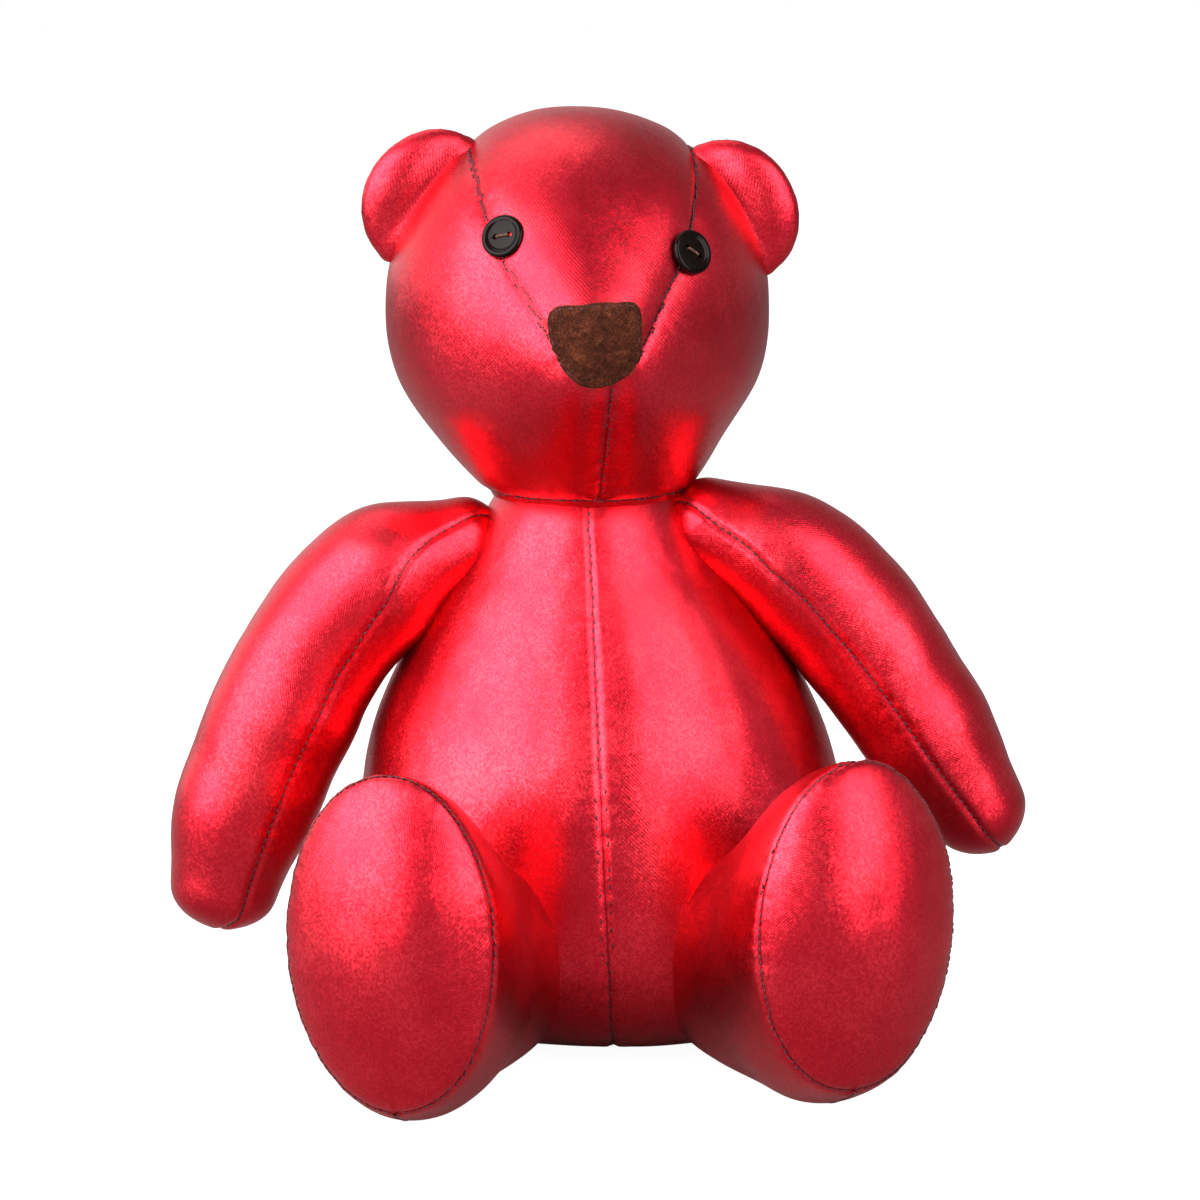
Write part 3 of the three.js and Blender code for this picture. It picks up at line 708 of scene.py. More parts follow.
def button_plastic():
    made, graph, shader, solid = material("dark_brown_button")
    colour = graph.ramp(
        graph.noise(solid, 260.0, 3.0),
        (0.3, (0.0020, 0.0010, 0.0010)),
        (0.7, (0.0060, 0.0026, 0.0022)),
    )
    rough = graph.math("MULTIPLY_ADD", graph.noise(solid, 900.0), 0.08, 0.10)
    graph.feed(shader, {"Base Color": colour, "Roughness": rough, "Specular IOR Level": 0.07,
                        "Coat Weight": 0.04, "Coat Roughness": 0.04})
    return made


def felt(name, light):
    """Matted brown wool; light scales all its colours, a painted highlight that makes the loose fibres
    paler than the mat beneath them.
    """
    made, graph, shader, solid = material(name)
    tufts = graph.noise(solid, 520.0, 4.0, 0.7)
    matted = graph.noise(solid, 190.0, 4.0, 0.7)
    tone = graph.math("MULTIPLY_ADD", tufts, 0.6, graph.math("MULTIPLY", matted, 0.5))
    colour = graph.ramp(
        tone,
        (0.38, (0.012 * light, 0.0025 * light, 0.0012 * light)),
        (0.56, (0.042 * light, 0.0095 * light, 0.0042 * light)),
        (0.78, (0.11 * light, 0.028 * light, 0.013 * light)),
    )
    graph.feed(shader, {"Base Color": colour, "Normal": graph.bump(tone, 0.002, 0.9),
                        "Roughness": 0.95, "Specular IOR Level": 0.15, "Sheen Weight": 0.05,
                        "Sheen Roughness": 0.5, "Sheen Tint": (0.5, 0.2, 0.12, 1.0)})
    return made


def studio_floor():
    """A floor that shows white, as in a studio picture, but throws little light up at the toy."""
    made, graph, shader, solid = material("studio_floor")
    colour = graph.grey_ramp(graph.noise(solid, 3.0), (0.0, 0.24), (1.0, 0.28))
    seen = graph.add("LightPath", {})["Is Camera Ray"]
    glow = graph.math("MULTIPLY_ADD", seen, 0.95, 0.0)
    graph.feed(shader, {"Base Color": colour, "Roughness": 0.8, "Specular IOR Level": 0.1,
                        "Emission Color": WHITE, "Emission Strength": glow})
    return made


RED_CLOTH = red_cloth()
SEAM_THREAD = thread("dark_red_thread", 1500.0, (0.3, (0.018, 0.001, 0.004)),
                     (0.75, (0.085, 0.004, 0.014)), 0.5, 0.6)
BUTTON = button_plastic()
BUTTON_THREAD = thread("brown_button_thread", 1300.0, (0.3, (0.030, 0.010, 0.006)),
                       (0.8, (0.16, 0.062, 0.034)), 0.6, 0.75)
FELT = felt("brown_felt", 1.0)
# painted highlight: the loose fibres are the same felt with every colour 2.6 times lighter
FELT_FIBRE_PAINTED_HIGHLIGHT = felt("brown_felt_fibre_painted_highlight", 2.6)

# ---- head ----
# degrees up and back over the head from straight ahead, and the gusset's half width there in mm
GUSSET = (
    (-24, 3), (-9, 12.5), (-4, 15.5), (4, 19.5), (14, 24.5), (24, 27.5), (50, 32), (80, 33),
    (120, 30), (170, 20), (215, 7), (232, 1),
)
UNDER_NOSE = -11.0                    # where the gusset's seams end, beneath the felt
HEAD_BLEND = 20                       # how far above the neck's seam the head's second point for blender_of lies


def push_muzzle(grid):
    """Draws the front of the head out into the muzzle."""
    offset = grid - HEAD
    facing = -(offset @ HEAD_BACK)
    side = offset @ HEAD_RIGHT
    rise = offset[..., 2] - MUZZLE_DROP
    fall = np.exp(-(side ** 2 + rise ** 2) / MUZZLE_SPREAD ** 2)
    ease = np.clip(facing / 12, 0, 1)
    return grid - HEAD_BACK * (MUZZLE_REACH * fall * ease)[..., None]


def head_ring(z, wide, deep):
    """A level ring of the head, whose centre runs from the neck over to the head."""
    low = min(max((z - SEAM_Z) / 18, 0), 1)
    low = low * low * (3 - 2 * low)
    at = np.array([NECK[0] + (HEAD[0] - NECK[0]) * low, HEAD[1] * low, z])
    return ring(at, wide, deep, HEAD_RIGHT, HEAD_BACK)


def head_rows():
    rings = [head_ring(158, -22, -21), head_ring(152, 0, 0)]
    for z, wide, deep in ((158, 22, 21), (SEAM_Z, 30, 30), (174, 37.2, 37.5), (186, 45.5, 45),
                          (198, 52.8, 50.5), (210, 56, 53)):
        rings.append(head_ring(z, wide, deep))
    for angle in range(0, 121, 15):
        turn = math.radians(angle)
        z = HEAD[2] + HEAD_RADIUS * math.sin(turn)
        rings.append(head_ring(z, HEAD_RADIUS * math.cos(turn), HEAD_DEPTH * math.cos(turn)))
    return spline_rings(rings, 1, 2)


def found_line(tree, rays, passes):
    """The line where rays, each a start in mm and a direction, meet a surface, softened."""
    hits = [tree.ray_cast(Vector(start * MM), Vector(look))[0] for start, look in rays]
    line = np.array([np.array(hit) / MM for hit in hits if hit is not None])
    return even_line(softened(line, passes))


def gusset_seam(tree, side):
    """One edge of the gusset, found by looking out from the head's middle plane."""
    angles = np.linspace(UNDER_NOSE, GUSSET[-1][0], 520)
    table = np.array(GUSSET, float)
    half = smooth_rows(table[:, 0], table[:, 1:], angles)[:, 0]
    rays = [(HEAD + HEAD_RIGHT * reach * side, -HEAD_BACK * math.cos(turn) + Z_AXIS * math.sin(turn))
            for turn, reach in zip(np.radians(angles), half)]
    return found_line(tree, rays, 6)


def centre_seam(tree, low, high, back):
    """A seam in the head's middle plane between two heights, at the front or the back."""
    look = HEAD_BACK if back else -HEAD_BACK
    rays = [(np.array([NECK[0], 0.0, z]), look) for z in np.linspace(low, high, 160)]
    return found_line(tree, rays, 4)


def make_head():
    attach = blender_of((NECK[0], 0, SEAM_Z), (NECK[0], 0, SEAM_Z + HEAD_BLEND))

    def pins(grid):
        tree = grid_tree(grid)
        lines = [gusset_seam(tree, 1), gusset_seam(tree, -1)]
        lines.append(centre_seam(tree, 166, 202, False))
        lines.append(centre_seam(tree, 166, 180, True))
        neck = [point for point in grid_points(grid) if point[2] < 170]
        return np.concatenate(lines + [np.array(neck)])

    skin, grid, _ = stuffed(
        "head_skin", head_rows(), shift=push_muzzle, pins=pins, pressure=2.0, most=1.6,
        uneven=((34, 0.6, 1), (13, 0.10, 2)),
    )
    tree = grid_tree(grid)
    seams = [
        {"line": gusset_seam(tree, 1), "valley": 0.9, "tick": 1.0},
        {"line": gusset_seam(tree, -1), "valley": 0.9, "tick": 1.0},
        {"line": centre_seam(tree, 166, 203, False), "valley": 1.2, "reach": 6, "pucker": 0.35},
        {"line": centre_seam(tree, 166, 181, True), "valley": 1.0},
        {"line": even_line(loop_at(grid, row_at(grid, SEAM_Z))), "valley": 0.5, "reach": 2.5,
         "groove": 0.4},
    ]
    finish_skin("head", skin, grid, seams, attach,
                ("head_gusset", "head_left_side", "head_right_side", "head_stuffing"))
    return skin


def grid_tree(grid):
    points = [Vector(point * MM) for point in grid_points(grid)]
    return BVHTree.FromPolygons(points, grid_faces(grid.shape[0], grid.shape[1]))


# ---- torso ----
TORSO_RINGS = (
    (0, 43, 29, 6), (3.5, 53, 41, 4), (10, 62.5, 51, 2), (22, 70.5, 58.5, 0), (40, 75, 62.5, 0),
    (64, 74.5, 62, 0), (88, 70, 58.5, 0), (106, 63.5, 53, 0), (124, 54, 46, 0),
    (138, 44.5, 39.5, 0), (148, 37.5, 35, 0),
)
FRONT = 1.5 * math.pi
BACK = 0.5 * math.pi


def torso_rows():
    rings = []
    for z, wide, deep, back in TORSO_RINGS:
        rings.append(ring(np.array([LEAN * z, back, z]), wide, deep))
    for angle in (26, 42, 60, 76, 90, 104):
        turn = math.radians(angle)
        at = NECK + Z_AXIS * DOME_RADIUS * math.sin(turn)
        rings.append(ring(at, DOME_RADIUS * math.cos(turn), DOME_RADIUS * math.cos(turn)))
    return spline_rings(rings, 0, 1)


def make_torso():
    wide, deep, back = TORSO_RINGS[0][1:]
    flat = []
    for part in np.linspace(0, 1, int(wide / FINE), endpoint=False):
        flat.append(ring(np.array([0, back, 0.0]), wide * part, deep * part))
    attach = blender_of((NECK[0], 0, 137), (NECK[0], 0, SEAM_Z))

    def pins(grid):
        lines = [meridian(grid, 0, 1, FRONT), meridian(grid, 0, 1, BACK)]
        lines += [meridian(grid, 0, 1, 0.0), meridian(grid, 0, 1, math.pi)]
        ends = [point for point in grid_points(grid) if point[2] < 4 or point[2] > 158]
        return np.concatenate(lines + [np.array(ends)])

    skin, grid, rows = stuffed(
        "torso_skin", torso_rows(), flat_rows=np.array(flat), pins=pins, pressure=2.5, most=2.0,
        uneven=((40, 0.9, 3), (16, 0.14, 4)),
    )
    grid[:, :, 2] = np.maximum(grid[:, :, 2], 0.0)
    set_points(skin, grid_points(grid))
    start = len(flat) / (len(rows) - 1)
    front = even_line(meridian(grid, start, 0.95, FRONT))
    heights = front[:, 2]
    single = float(np.mean(heights < 36))
    double = float(np.mean(heights < 88))
    seams = [
        {"line": front, "valley": 0.25, "reach": 5.0, "pucker": 0.3, "pitch": 2.5,
         "rows": ((0.0, single, (0.0,)), (single, double, (-1.2, 1.2)), (double, 1.0, (0.0,)))},
        {"line": even_line(meridian(grid, start, 0.93, BACK)), "valley": 1.0, "pitch": 2.5},
        {"line": even_line(meridian(grid, start, 0.90, 0.0)), "valley": 0.8},
        {"line": even_line(meridian(grid, start, 0.90, math.pi)), "valley": 0.8},
        {"line": even_line(loop_at(grid, len(flat))), "valley": 0.5, "groove": 0.4},
    ]
    finish_skin("torso", skin, grid, seams, attach,
                ("torso_front_left", "torso_front_right", "torso_back_left", "torso_back_right",
                 "torso_base", "torso_stuffing", "seat_pellet_pouch", "neck_wad"))


# ---- limbs ----
def limb_rings(spine, tip, frame_u, v, round_tip):
    """Rings of a limb with a half ball at its root and, on an arm, a rounded tip."""
    stations = np.array(spine, float)
    centres = stations[:, :3]
    steps = np.linalg.norm(np.diff(centres, axis=0), axis=1)
    knots = np.concatenate([[0], np.cumsum(steps)])
    nudge = 0.01
    ahead = smooth_rows(knots, centres, np.minimum(knots + nudge, knots[-1]))
    behind = smooth_rows(knots, centres, np.maximum(knots - nudge, 0))
    along = ahead - behind
    along /= np.linalg.norm(along, axis=1)[:, None]
    rings = []

    def close_end(station, direction, reach, angles):
        for turn in np.radians(angles):
            at = station[:3] + direction * reach * math.sin(turn)
            wide, deep = station[3:] * math.cos(turn)
            rings.append(ring(at, wide, deep, frame_u(direction), v))

    close_end(stations[0], along[0], -stations[0, 3], (120, 90, 60, 30))
    for station, direction in zip(stations, along):
        rings.append(ring(station[:3], station[3], station[4], frame_u(direction), v))
    if round_tip:
        close_end(stations[-1], along[-1], tip, (25, 45, 65, 90, 115))
    return rings, along[-1]


def root_of(limb):
    """A limb's first centre and the direction in which it leaves the torso."""
    first, second = np.array([station[:3] for station in limb["spine"][:2]], float)
    return first, unit(second - first)


def unit(vector):
    return vector / np.linalg.norm(vector)


# stations of each limb's middle line: x, y and z in mm, then half width and half depth
ARM_BLEND = (6, 36)                   # how far before and after its root the arm's two points for blender_of lie
LEG_BLEND = 34
ARMS = {
    "left": {
        "spine": ((29, -8, 155.5, 14, 14), (50, -9, 146.5, 20, 18.5), (69, -9, 129, 21.5, 19),
                  (87, -9, 104, 20.5, 19), (98, -9, 87, 19, 18), (108.5, -9, 71, 15, 15)),
        "tip": 15,
        # how far along the arm, and how many degrees the front seam lies towards the body there
        "turn": ((0.05, -34), (0.14, -8), (0.26, 11), (0.42, 14), (0.6, 11), (0.75, 9),
                 (0.9, 7), (1.0, 0)),
        "toward": 1,
    },
    "right": {
        "spine": ((-45.5, -7, 151, 12.5, 12.5), (-63, -9, 143.5, 20, 18.5), (-82, -9, 127, 21.5, 19),
                  (-97, -9, 102, 22, 19.5), (-106, -9, 82, 21.5, 19), (-113.5, -9, 62, 20, 17.5),
                  (-117, -9, 47, 16.5, 14.5)),
        "tip": 14,
        "turn": ((0.05, -40), (0.15, -20), (0.27, 14), (0.38, 24), (0.5, 26), (0.65, 26),
                 (0.8, 29), (0.92, 28), (1.0, 5)),
        "toward": -1,
    },
}


def make_arm(side, arm):
    rings, _ = limb_rings(arm["spine"], arm["tip"], lambda a: unit(np.cross(Y_AXIS, a)), Y_AXIS,
                          True)
    rows = spline_rings(rings, 1, 1)
    body = side + "_arm"
    first, way = root_of(arm)
    attach = blender_of(first - way * ARM_BLEND[0], first + way * ARM_BLEND[1])
    along, turns = np.array(arm["turn"], float).T
    turns = np.radians(turns)

    def front(part):
        return FRONT + arm["toward"] * float(np.interp(part, along, turns))

    def back(part):
        return BACK - arm["toward"] * float(np.interp(part, along, turns)) * 0.5

    def pins(grid):
        lines = [meridian(grid, 0, 1, front), meridian(grid, 0, 1, back)]
        root = meridian(grid, 0, 0.12, 0.0)
        return np.concatenate(lines + [root, grid[0, :1], grid[-1, :1]])

    length = unit(np.array(arm["spine"][-1][:3], float) - first)
    skin, grid, _ = stuffed(
        body + "_skin", rows, pins=pins, pressure=3.0, most=1.8,
        uneven=((24, 0.6, 5 + arm["toward"], length, 1.7), (10, 0.08, 8 + arm["toward"], length, 2.0)),
    )
    seams = [
        {"line": even_line(meridian(grid, 0.02, 0.995, front)), "valley": -0.5, "reach": 4.5,
         "groove": 0.8, "pitch": 2.5},
        {"line": even_line(meridian(grid, 0.02, 0.995, back)), "valley": 0.4, "pitch": 2.5},
    ]
    finish_skin(body, skin, grid, seams, attach,
                (body + "_outer", body + "_inner", body + "_stuffing"))


LEGS = {
    "left": {
        "spine": ((37, -22, 30, 29, 30), (43, -44, 33, 30, 33), (53, -68, 42, 30, 42),
                  (61, -88, 50.5, 31.5, 48.5), (67, -104, 57.5, 30.5, 47.5)),
        "tip": 11,
    },
    "right": {
        "spine": ((-38, -24, 30, 29, 30), (-43, -48, 33, 30, 33), (-51, -76, 41, 30, 41),
                  (-57, -100, 49, 31.5, 48.5), (-61, -116, 55.5, 30.5, 48.5)),
        "tip": 11,
    },
}


def make_leg(side, leg):
    rings, ahead = limb_rings(leg["spine"], leg["tip"], lambda a: unit(np.cross(Z_AXIS, a)), Z_AXIS,
                              False)
    rows = spline_rings(rings, 1, 0)
    last = rows[-1]
    sole = []
    for part in np.linspace(1, 0, int(last[4] / FINE) + 1)[1:]:
        row = last.copy()
        row[:3] += ahead * (leg["tip"] + 1.5) * (1 - part ** 2.05)
        row[3] *= part
        row[4] *= part
        sole.append(row)
    body = side + "_leg"
    first, way = root_of(leg)
    attach = blender_of(first, first + way * LEG_BLEND)

    def pins(grid):
        rim = grid[len(grid) - 1 - len(sole)]
        lines = [rim, meridian(grid, 0, 1 - len(sole) / len(grid), BACK)]
        low = [point for point in grid_points(grid) if point[2] < 3]
        return np.concatenate(lines + [grid[0, :1], grid[:3].reshape(-1, 3), np.array(low)])

    skin, grid, _ = stuffed(
        body + "_skin", rows, end_rows=np.array(sole), pins=pins, pressure=2.5, most=1.8,
        uneven=((30, 0.8, 11), (12, 0.12, 12)), rest_z=0.0,
    )
    rim = len(grid) - 1 - len(sole)
    part = rim / (len(grid) - 1)
    seams = [
        {"line": even_line(loop_at(grid, rim)), "valley": 0.5, "reach": 3.5, "groove": 0.9,
         "pucker": 0.3, "pitch": 2.0},
        {"line": even_line(meridian(grid, 0.1, part, BACK)), "valley": 0.7},
        {"line": even_line(meridian(grid, 0.1, part, FRONT)), "valley": 0.0, "groove": 0.0,
         "pucker": 0.0},
    ]
    finish_skin(body, skin, grid, seams, attach,
                (body + "_sole", body + "_outer", body + "_inner", body + "_stuffing"))


# ---- ears ----
EARS = {
    "left": {"high": (24, -8, 267), "low": (46, -8, 230)},
    "right": {"high": (-42, -8, 268.5), "low": (-67, -8, 235)},
}
EAR_HALF_CHORD = 22.0
EAR_HEIGHT = 18.5
EAR_HALF_THICK = 8.0
EAR_CUP = 4.0


def make_ear(side, ear):
    high = np.array(ear["high"], float)
    low = np.array(ear["low"], float)
    along = unit(low - high)
    middle = (high + low) / 2
    out = np.array([abs(along[2]) * np.sign(along[0]), 0, abs(along[0])])
    rings = []
    for turn in np.radians(range(-110, 111, 10)):
        level = math.cos(turn)
        at = middle + along * EAR_HALF_CHORD * math.sin(turn)
        rings.append(ring(at, EAR_HEIGHT * level, EAR_HALF_THICK * level, out, Y_AXIS))

    def cup(grid):
        """Makes the half behind the fold line shallow, and curls the rim over a hollow front."""
        offset = grid - middle
        reach = offset @ out
        shallow = np.where(reach < 0, reach * (EAR_HALF_THICK / EAR_HEIGHT), reach)
        grid = grid + out * (shallow - reach)[..., None]
        across = (offset @ along) / EAR_HALF_CHORD
        inside = np.clip(1 - across ** 2, 0, 1)
        part = np.clip(shallow / EAR_HEIGHT, 0, 1)
        curl = -EAR_CUP * part ** 1.5 * (0.6 + 0.4 * inside)
        faces_front = np.clip(-offset[..., 1] / 3, 0, 1)
        hollow = 1.4 * np.exp(-((part - 0.16) / 0.24) ** 2) * inside * faces_front
        behind = np.clip(offset[..., 1] / 3, 0, 1)
        fuller = 1.5 * np.sin(math.pi * part) * inside * behind
        grid[..., 1] += curl + hollow + fuller
        return grid

    rows = spline_rings(rings, 2, 2)
    body = side + "_ear"
    attach = blender_of(middle - out * 2, middle + out * 7)
    skin, grid, _ = stuffed(
        body + "_skin", rows, shift=cup, uneven=((16, 0.5, 21), (7, 0.12, 22)),
    )
    seams = [
        {"line": even_line(meridian(grid, 0.04, 0.96, 0.12)), "valley": 0.3, "reach": 3,
         "groove": 0.7},
    ]
    finish_skin(body, skin, grid, seams, attach,
                (body + "_front", body + "_back", body + "_stuffing"))


# ---- face ----
EYES = {
    "left": {"side": 28.0, "z": 239.0, "reach": 50.5, "spin": 35.0},
    "right": {"side": -26.8, "z": 244.6, "reach": 49.5, "spin": -12.0},
}
EYE_HOLE_RADIUS = 0.85
EYE_HOLE_OFFSET = 2.1
EYE_LIFT = 5.5                        # from the muzzle's ball to the middle of the button
EYE_FORWARD = 46                      # how far ahead of the head's centre the eyes look from
EYE_HOLE_DEPTH = 1.1
EYE_HOLE_SIDES = 28
EYE_PLIES = 4
PLY_STEPS = 40
PLY_TWIST = 9.0
PLY_RADIUS = 0.17
# radius and height of the button's outline, from the middle of its back to that of its front
BUTTON_OUTLINE = (
    (0, -1.5), (4.0, -1.5), (5.1, -1.25), (5.9, -0.55), (6.3, 0.05), (6.4, 0.35), (6.36, 0.75),
    (6.15, 1.15), (5.8, 1.4), (5.35, 1.5), (4.95, 1.44), (4.6, 1.24), (4.25, 1.05), (3.8, 0.98),
    (2.6, 0.95), (0, 0.93),
)


def turned_form(profile, around):
    """Points and faces of a closed form turned about Z from (radius, height) pairs."""
    points = [(0.0, 0.0, profile[0][1])]
    for radius, height in profile[1:-1]:
        for k in range(around):
            turn = 2 * math.pi * k / around
            points.append((radius * math.cos(turn), radius * math.sin(turn), height))
    points.append((0.0, 0.0, profile[-1][1]))
    faces = grid_faces(len(profile), around)
    points = np.array(points)
    return points, outward(points, faces)


def cut_holes(obj, centres, radius, depth):
    """Cuts round holes into an object that lies in the plane z = 0, down to a depth below it."""
    for k, (x, y) in enumerate(centres):
        profile = ((0, -depth), (radius, -depth), (radius, 3.0), (0, 3.0))
        points, faces = turned_form(profile, EYE_HOLE_SIDES)
        tool = new_mesh("hole_tool", points + np.array([x, y, 0.0]), faces)
        cut = obj.modifiers.new("hole_%d" % k, "BOOLEAN")
        cut.object = tool
        cut.solver = "EXACT"
        depsgraph = bpy.context.evaluated_depsgraph_get()
        made = bpy.data.meshes.new_from_object(obj.evaluated_get(depsgraph))
        obj.modifiers.clear()
        old = obj.data
        obj.data = made
        bpy.data.meshes.remove(old)
        discard(tool)


def place_mesh(obj, at, right, up, facing):
    """Moves a mesh made about the origin, in metres, to its place on the head."""
    for vertex in obj.data.vertices:
        local = np.array(vertex.co) / MM
        world = at + right * local[0] + up * local[1] + facing * local[2]
        vertex.co = Vector(world * MM)
    obj.data.update()


def make_eye(side, eye):
    facing = unit(HEAD_RIGHT * eye["side"] - HEAD_BACK * EYE_FORWARD
                  + Z_AXIS * (eye["z"] - HEAD[2]))
    at = HEAD + facing * (eye["reach"] + EYE_LIFT)
    right = unit(np.cross(Z_AXIS, facing))
    up = np.cross(facing, right)
    spin = math.radians(eye["spin"])
    across = right * math.cos(spin) - up * math.sin(spin)
    above = np.cross(facing, across)
    points, faces = turned_form(BUTTON_OUTLINE, 72)
    button = new_mesh(side + "_eye", points, faces)
    cut_holes(button, ((-EYE_HOLE_OFFSET, 0), (EYE_HOLE_OFFSET, 0)), EYE_HOLE_RADIUS,
              EYE_HOLE_DEPTH)
    for polygon in button.data.polygons:
        polygon.use_smooth = True
    button.data.set_sharp_from_angle(angle=math.radians(40))
    place_mesh(button, at, across, above, facing)
    button.data.materials.clear()
    button.data.materials.append(BUTTON)
    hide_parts(side + "_eye_button")
    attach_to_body(button, "head")

    # plies of thread from hole to hole, twisted round each other
    verts = []
    faces = []
    for ply in range(EYE_PLIES):
        rings = []
        for part in np.arange(PLY_STEPS + 1) / PLY_STEPS:
            dip = max(0.0, abs(2 * part - 1) - 0.78) / 0.22
            twist = ply * math.pi / 2 + part * PLY_TWIST
            middle = np.array([(2 * part - 1) * EYE_HOLE_OFFSET, 0.24 * math.cos(twist),
                               1.25 - 2.0 * dip ** 2 + 0.2 * math.sin(twist)])
            rings.append(rounded(middle, Y_AXIS * PLY_RADIUS, Z_AXIS * PLY_RADIUS, 6))
        add_rod(verts, faces, rings)
    sewing = new_mesh(side + "_eye_stitch", np.array(verts), faces)
    place_mesh(sewing, at, across, above, facing)
    sewing.data.materials.append(BUTTON_THREAD)
    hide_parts(side + "_eye_thread")
    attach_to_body(sewing, "head")


NOSE_Z = 214.0
NOSE_SIDE = -1.4
NOSE_THICK = 1.7
NOSE_CENTRE = HEAD + HEAD_RIGHT * NOSE_SIDE
NOSE_CENTRE[2] = NOSE_Z
IN_FRONT = 110                        # how far ahead of the nose a look at it starts
NOSE_AROUND = 96
# share of the outline and height over the muzzle, from the middle beneath to the middle on top
NOSE_PROFILE = (
    (0.0, 0.1), (0.5, 0.1), (0.97, 0.1), (1.0, 0.35), (1.005, 0.9), (0.985, 1.4),
    (0.95, NOSE_THICK), (0.88, NOSE_THICK), (0.76, 1.72), (0.62, 1.8), (0.45, 1.85),
    (0.28, 1.9), (0.12, 1.9), (0.0, 1.9),
)
FIBRES = 1500
FIBRE_STEPS = 6
FIBRE_RADIUS = 0.1


def nose_outline(count):
    """The felt patch: a wide flat top with soft corners, sides that narrow, a round bottom."""
    corners = np.array([
        (-12.4, 8.2), (-11.4, 10.0), (-5.0, 11.2), (1.5, 11.9), (7.0, 12.0), (11.3, 11.3),
        (12.3, 9.6), (12.5, 3.5), (12.0, -2.6), (8.6, -7.6), (3.0, -10.4), (-2.0, -10.9), (-7.2, -7.8),
        (-10.6, -2.2), (-12.0, 3.5),
    ])
    closed = np.concatenate([corners[-3:], corners, corners[:3]])
    knots = np.concatenate([[0], np.cumsum(np.linalg.norm(np.diff(closed, axis=0), axis=1))])
    at = np.linspace(knots[3], knots[3 + len(corners)], count, endpoint=False)
    return smooth_rows(knots, closed, at)


def look_at_nose(tree, x, y):
    """The place and the normal where a straight look from in front meets a surface."""
    start = NOSE_CENTRE + HEAD_RIGHT * x + Z_AXIS * y - HEAD_BACK * IN_FRONT
    return tree.ray_cast(Vector(start * MM), Vector(HEAD_BACK))[:2]


def make_nose(tree):
    """A thick felt patch lying on the muzzle, with loose fibres and its own sewing."""
    rng = random.Random(5)
    ragged = [0.22 * noise.noise(Vector((k * 0.9, 3.3, 0.0))) for k in range(NOSE_AROUND)]
    outline = nose_outline(NOSE_AROUND) * (1 + np.array(ragged) / 12)[:, None]

    def on_muzzle(x, y, lift):
        place, normal = look_at_nose(tree, x, y)
        return np.array(place) / MM + np.array(normal) * lift

    points = []
    for k, (part, lift) in enumerate(NOSE_PROFILE):
        if k in (0, len(NOSE_PROFILE) - 1):
            points.append(on_muzzle(0, 0, lift))
            continue
        for x, y in outline * part:
            rough = 0.16 * noise.noise(Vector((x * 0.55, y * 0.55, 8.0)))
            points.append(on_muzzle(x, y, lift + (rough if lift > 1 else 0.0)))
    points = np.array(points)
    faces = outward(points, grid_faces(len(NOSE_PROFILE), NOSE_AROUND))
    patch = new_mesh("nose_patch", points, faces)
    patch.data.materials.append(FELT)
    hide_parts("nose_felt")
    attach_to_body(patch, "head")

    verts = []
    faces = []
    felt_tree = surface_tree(patch)
    for _ in range(FIBRES):
        angle = rng.uniform(0, 2 * math.pi)
        part = math.sqrt(rng.uniform(0, 1.02))
        x, y = outline[int(angle / (2 * math.pi) * NOSE_AROUND) % NOSE_AROUND] * part
        place, normal = look_at_nose(felt_tree, x, y)
        if place is None:
            continue
        up = np.array(normal)
        heading = unit(np.cross(up, [rng.gauss(0, 1), rng.gauss(0, 1), rng.gauss(0, 1)]))
        curl = rng.uniform(-1.4, 1.4)
        length = rng.uniform(1.2, 3.4)
        spot = np.array(place) / MM - up * 0.12
        rings = []
        for k in range(FIBRE_STEPS + 1):
            rise = math.sin(math.pi * k / FIBRE_STEPS) * rng.uniform(0.25, 0.6)
            beside = np.cross(up, heading)
            fat = FIBRE_RADIUS * (1 - 0.5 * k / FIBRE_STEPS)
            rings.append(rounded(spot + up * rise, beside * fat, up * fat, 3))
            heading = unit(heading + beside * curl * 0.35)
            spot = spot + heading * length / FIBRE_STEPS
        add_rod(verts, faces, rings)
    fuzz = new_mesh("nose_fibres", np.array(verts), faces)
    fuzz.data.materials.append(FELT_FIBRE_PAINTED_HIGHLIGHT)
    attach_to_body(fuzz, "head")

    inset = np.array([on_muzzle(x, y, NOSE_THICK) for x, y in outline * 0.9])
    line = even_line(np.concatenate([inset, inset[:1]]))
    points, shape = thread_run(felt_tree, line, 3.6, 1.9, 0.5, 0.0, rng)
    sewing = new_mesh("nose_stitches", np.array(points), shape)
    sewing.data.materials.append(SEAM_THREAD)
    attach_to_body(sewing, "head")


# ---- studio ----
# each lamp's place, its width and height in metres, its watts and its colour
LAMPS = {
    "key_left": ((-1.06, -0.92, 0.66), (1.65, 1.7), 64, (1.0, 0.98, 0.97)),
    "fill_right": ((0.88, -1.08, 0.64), (1.05, 1.6), 30, (1.0, 0.98, 0.97)),
    "top_soft": ((-0.3, 0.35, 1.5), (1.0, 0.8), 4, (1.0, 0.98, 0.98)),
}
LAMPS_AIM = Vector((0.0, 0.0, 0.13))
CAMERA_AIM = Vector((-0.004, 0.0, 0.1315))
CAMERA_RISE = math.radians(9.5)
CAMERA_DISTANCE = 1.1
CAMERA_LENS = 110


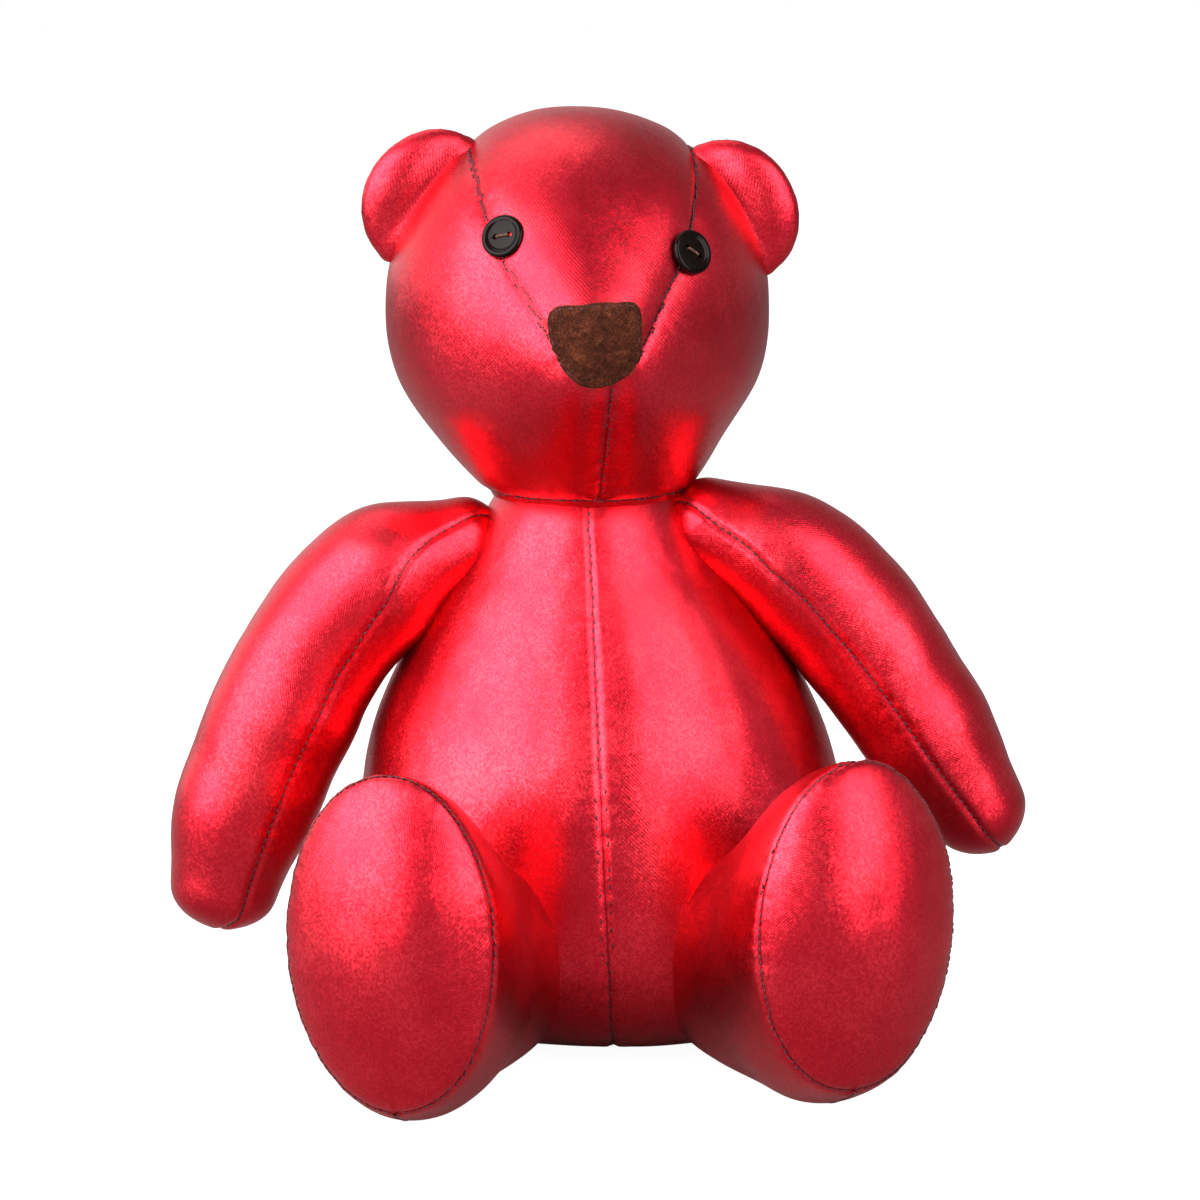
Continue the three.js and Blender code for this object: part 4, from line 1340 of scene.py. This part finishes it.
def make_studio():
    bpy.ops.mesh.primitive_grid_add(x_subdivisions=8, y_subdivisions=8, size=40.0)
    floor = bpy.context.object
    floor.name = "studio_floor"
    floor.data.materials.append(studio_floor())

    for name, (at, size, power, colour) in LAMPS.items():
        data = bpy.data.lights.new(name, "AREA")
        data.shape = "RECTANGLE"
        data.size, data.size_y = size
        data.energy = power
        data.color = colour
        light = bpy.data.objects.new(name, data)
        light.location = at
        light.rotation_euler = (LAMPS_AIM - Vector(at)).to_track_quat("-Z", "Y").to_euler()
        bpy.context.scene.collection.objects.link(light)

    world = bpy.data.worlds.new("studio")
    bpy.context.scene.world = world
    graph = Graph(world)
    apart = graph.add("SeparateXYZ", {0: graph.add("TexCoord", {})["Generated"]})
    # a bright wall on the toy's right, a dimmer one on its left, a dark gap between the lamps
    walls = graph.grey_ramp(graph.math("MULTIPLY_ADD", apart["X"], 0.5, 0.5),
                            (0.0, 1.0), (0.35, 0.42), (0.6, 0.20), (1.0, 0.22))
    gap = graph.grey_ramp(graph.math("MULTIPLY_ADD", apart["Y"], 0.5, 0.5),
                          (0.0, 0.10), (0.08, 0.16), (0.25, 0.60), (0.50, 1.0))
    seen = graph.add("LightPath", {})["Is Camera Ray"]
    colour = graph.mix(seen, graph.mix(1.0, walls, gap, "MULTIPLY"), WHITE)
    power = graph.math("MULTIPLY_ADD", seen, -0.8, 1.8)
    graph.feed(graph.nodes["Background"].inputs, {"Color": colour, "Strength": power})

    data = bpy.data.cameras.new("camera")
    data.lens = CAMERA_LENS
    data.sensor_width = 36
    camera = bpy.data.objects.new("camera", data)
    away = Vector((0, -math.cos(CAMERA_RISE), math.sin(CAMERA_RISE)))
    camera.location = CAMERA_AIM + away * CAMERA_DISTANCE
    camera.rotation_euler = (math.pi / 2 - CAMERA_RISE, 0, 0)
    bpy.context.scene.collection.objects.link(camera)
    bpy.context.scene.camera = camera
    bpy.context.scene.view_settings.view_transform = "Standard"


make_studio()
make_torso()
head_skin = make_head()
head_tree = surface_tree(head_skin)
for arm_side, arm_shape in ARMS.items():
    make_arm(arm_side, arm_shape)
for leg_side, leg_shape in LEGS.items():
    make_leg(leg_side, leg_shape)
for ear_side, ear_shape in EARS.items():
    make_ear(ear_side, ear_shape)
for eye_side, eye_shape in EYES.items():
    make_eye(eye_side, eye_shape)
make_nose(head_tree)
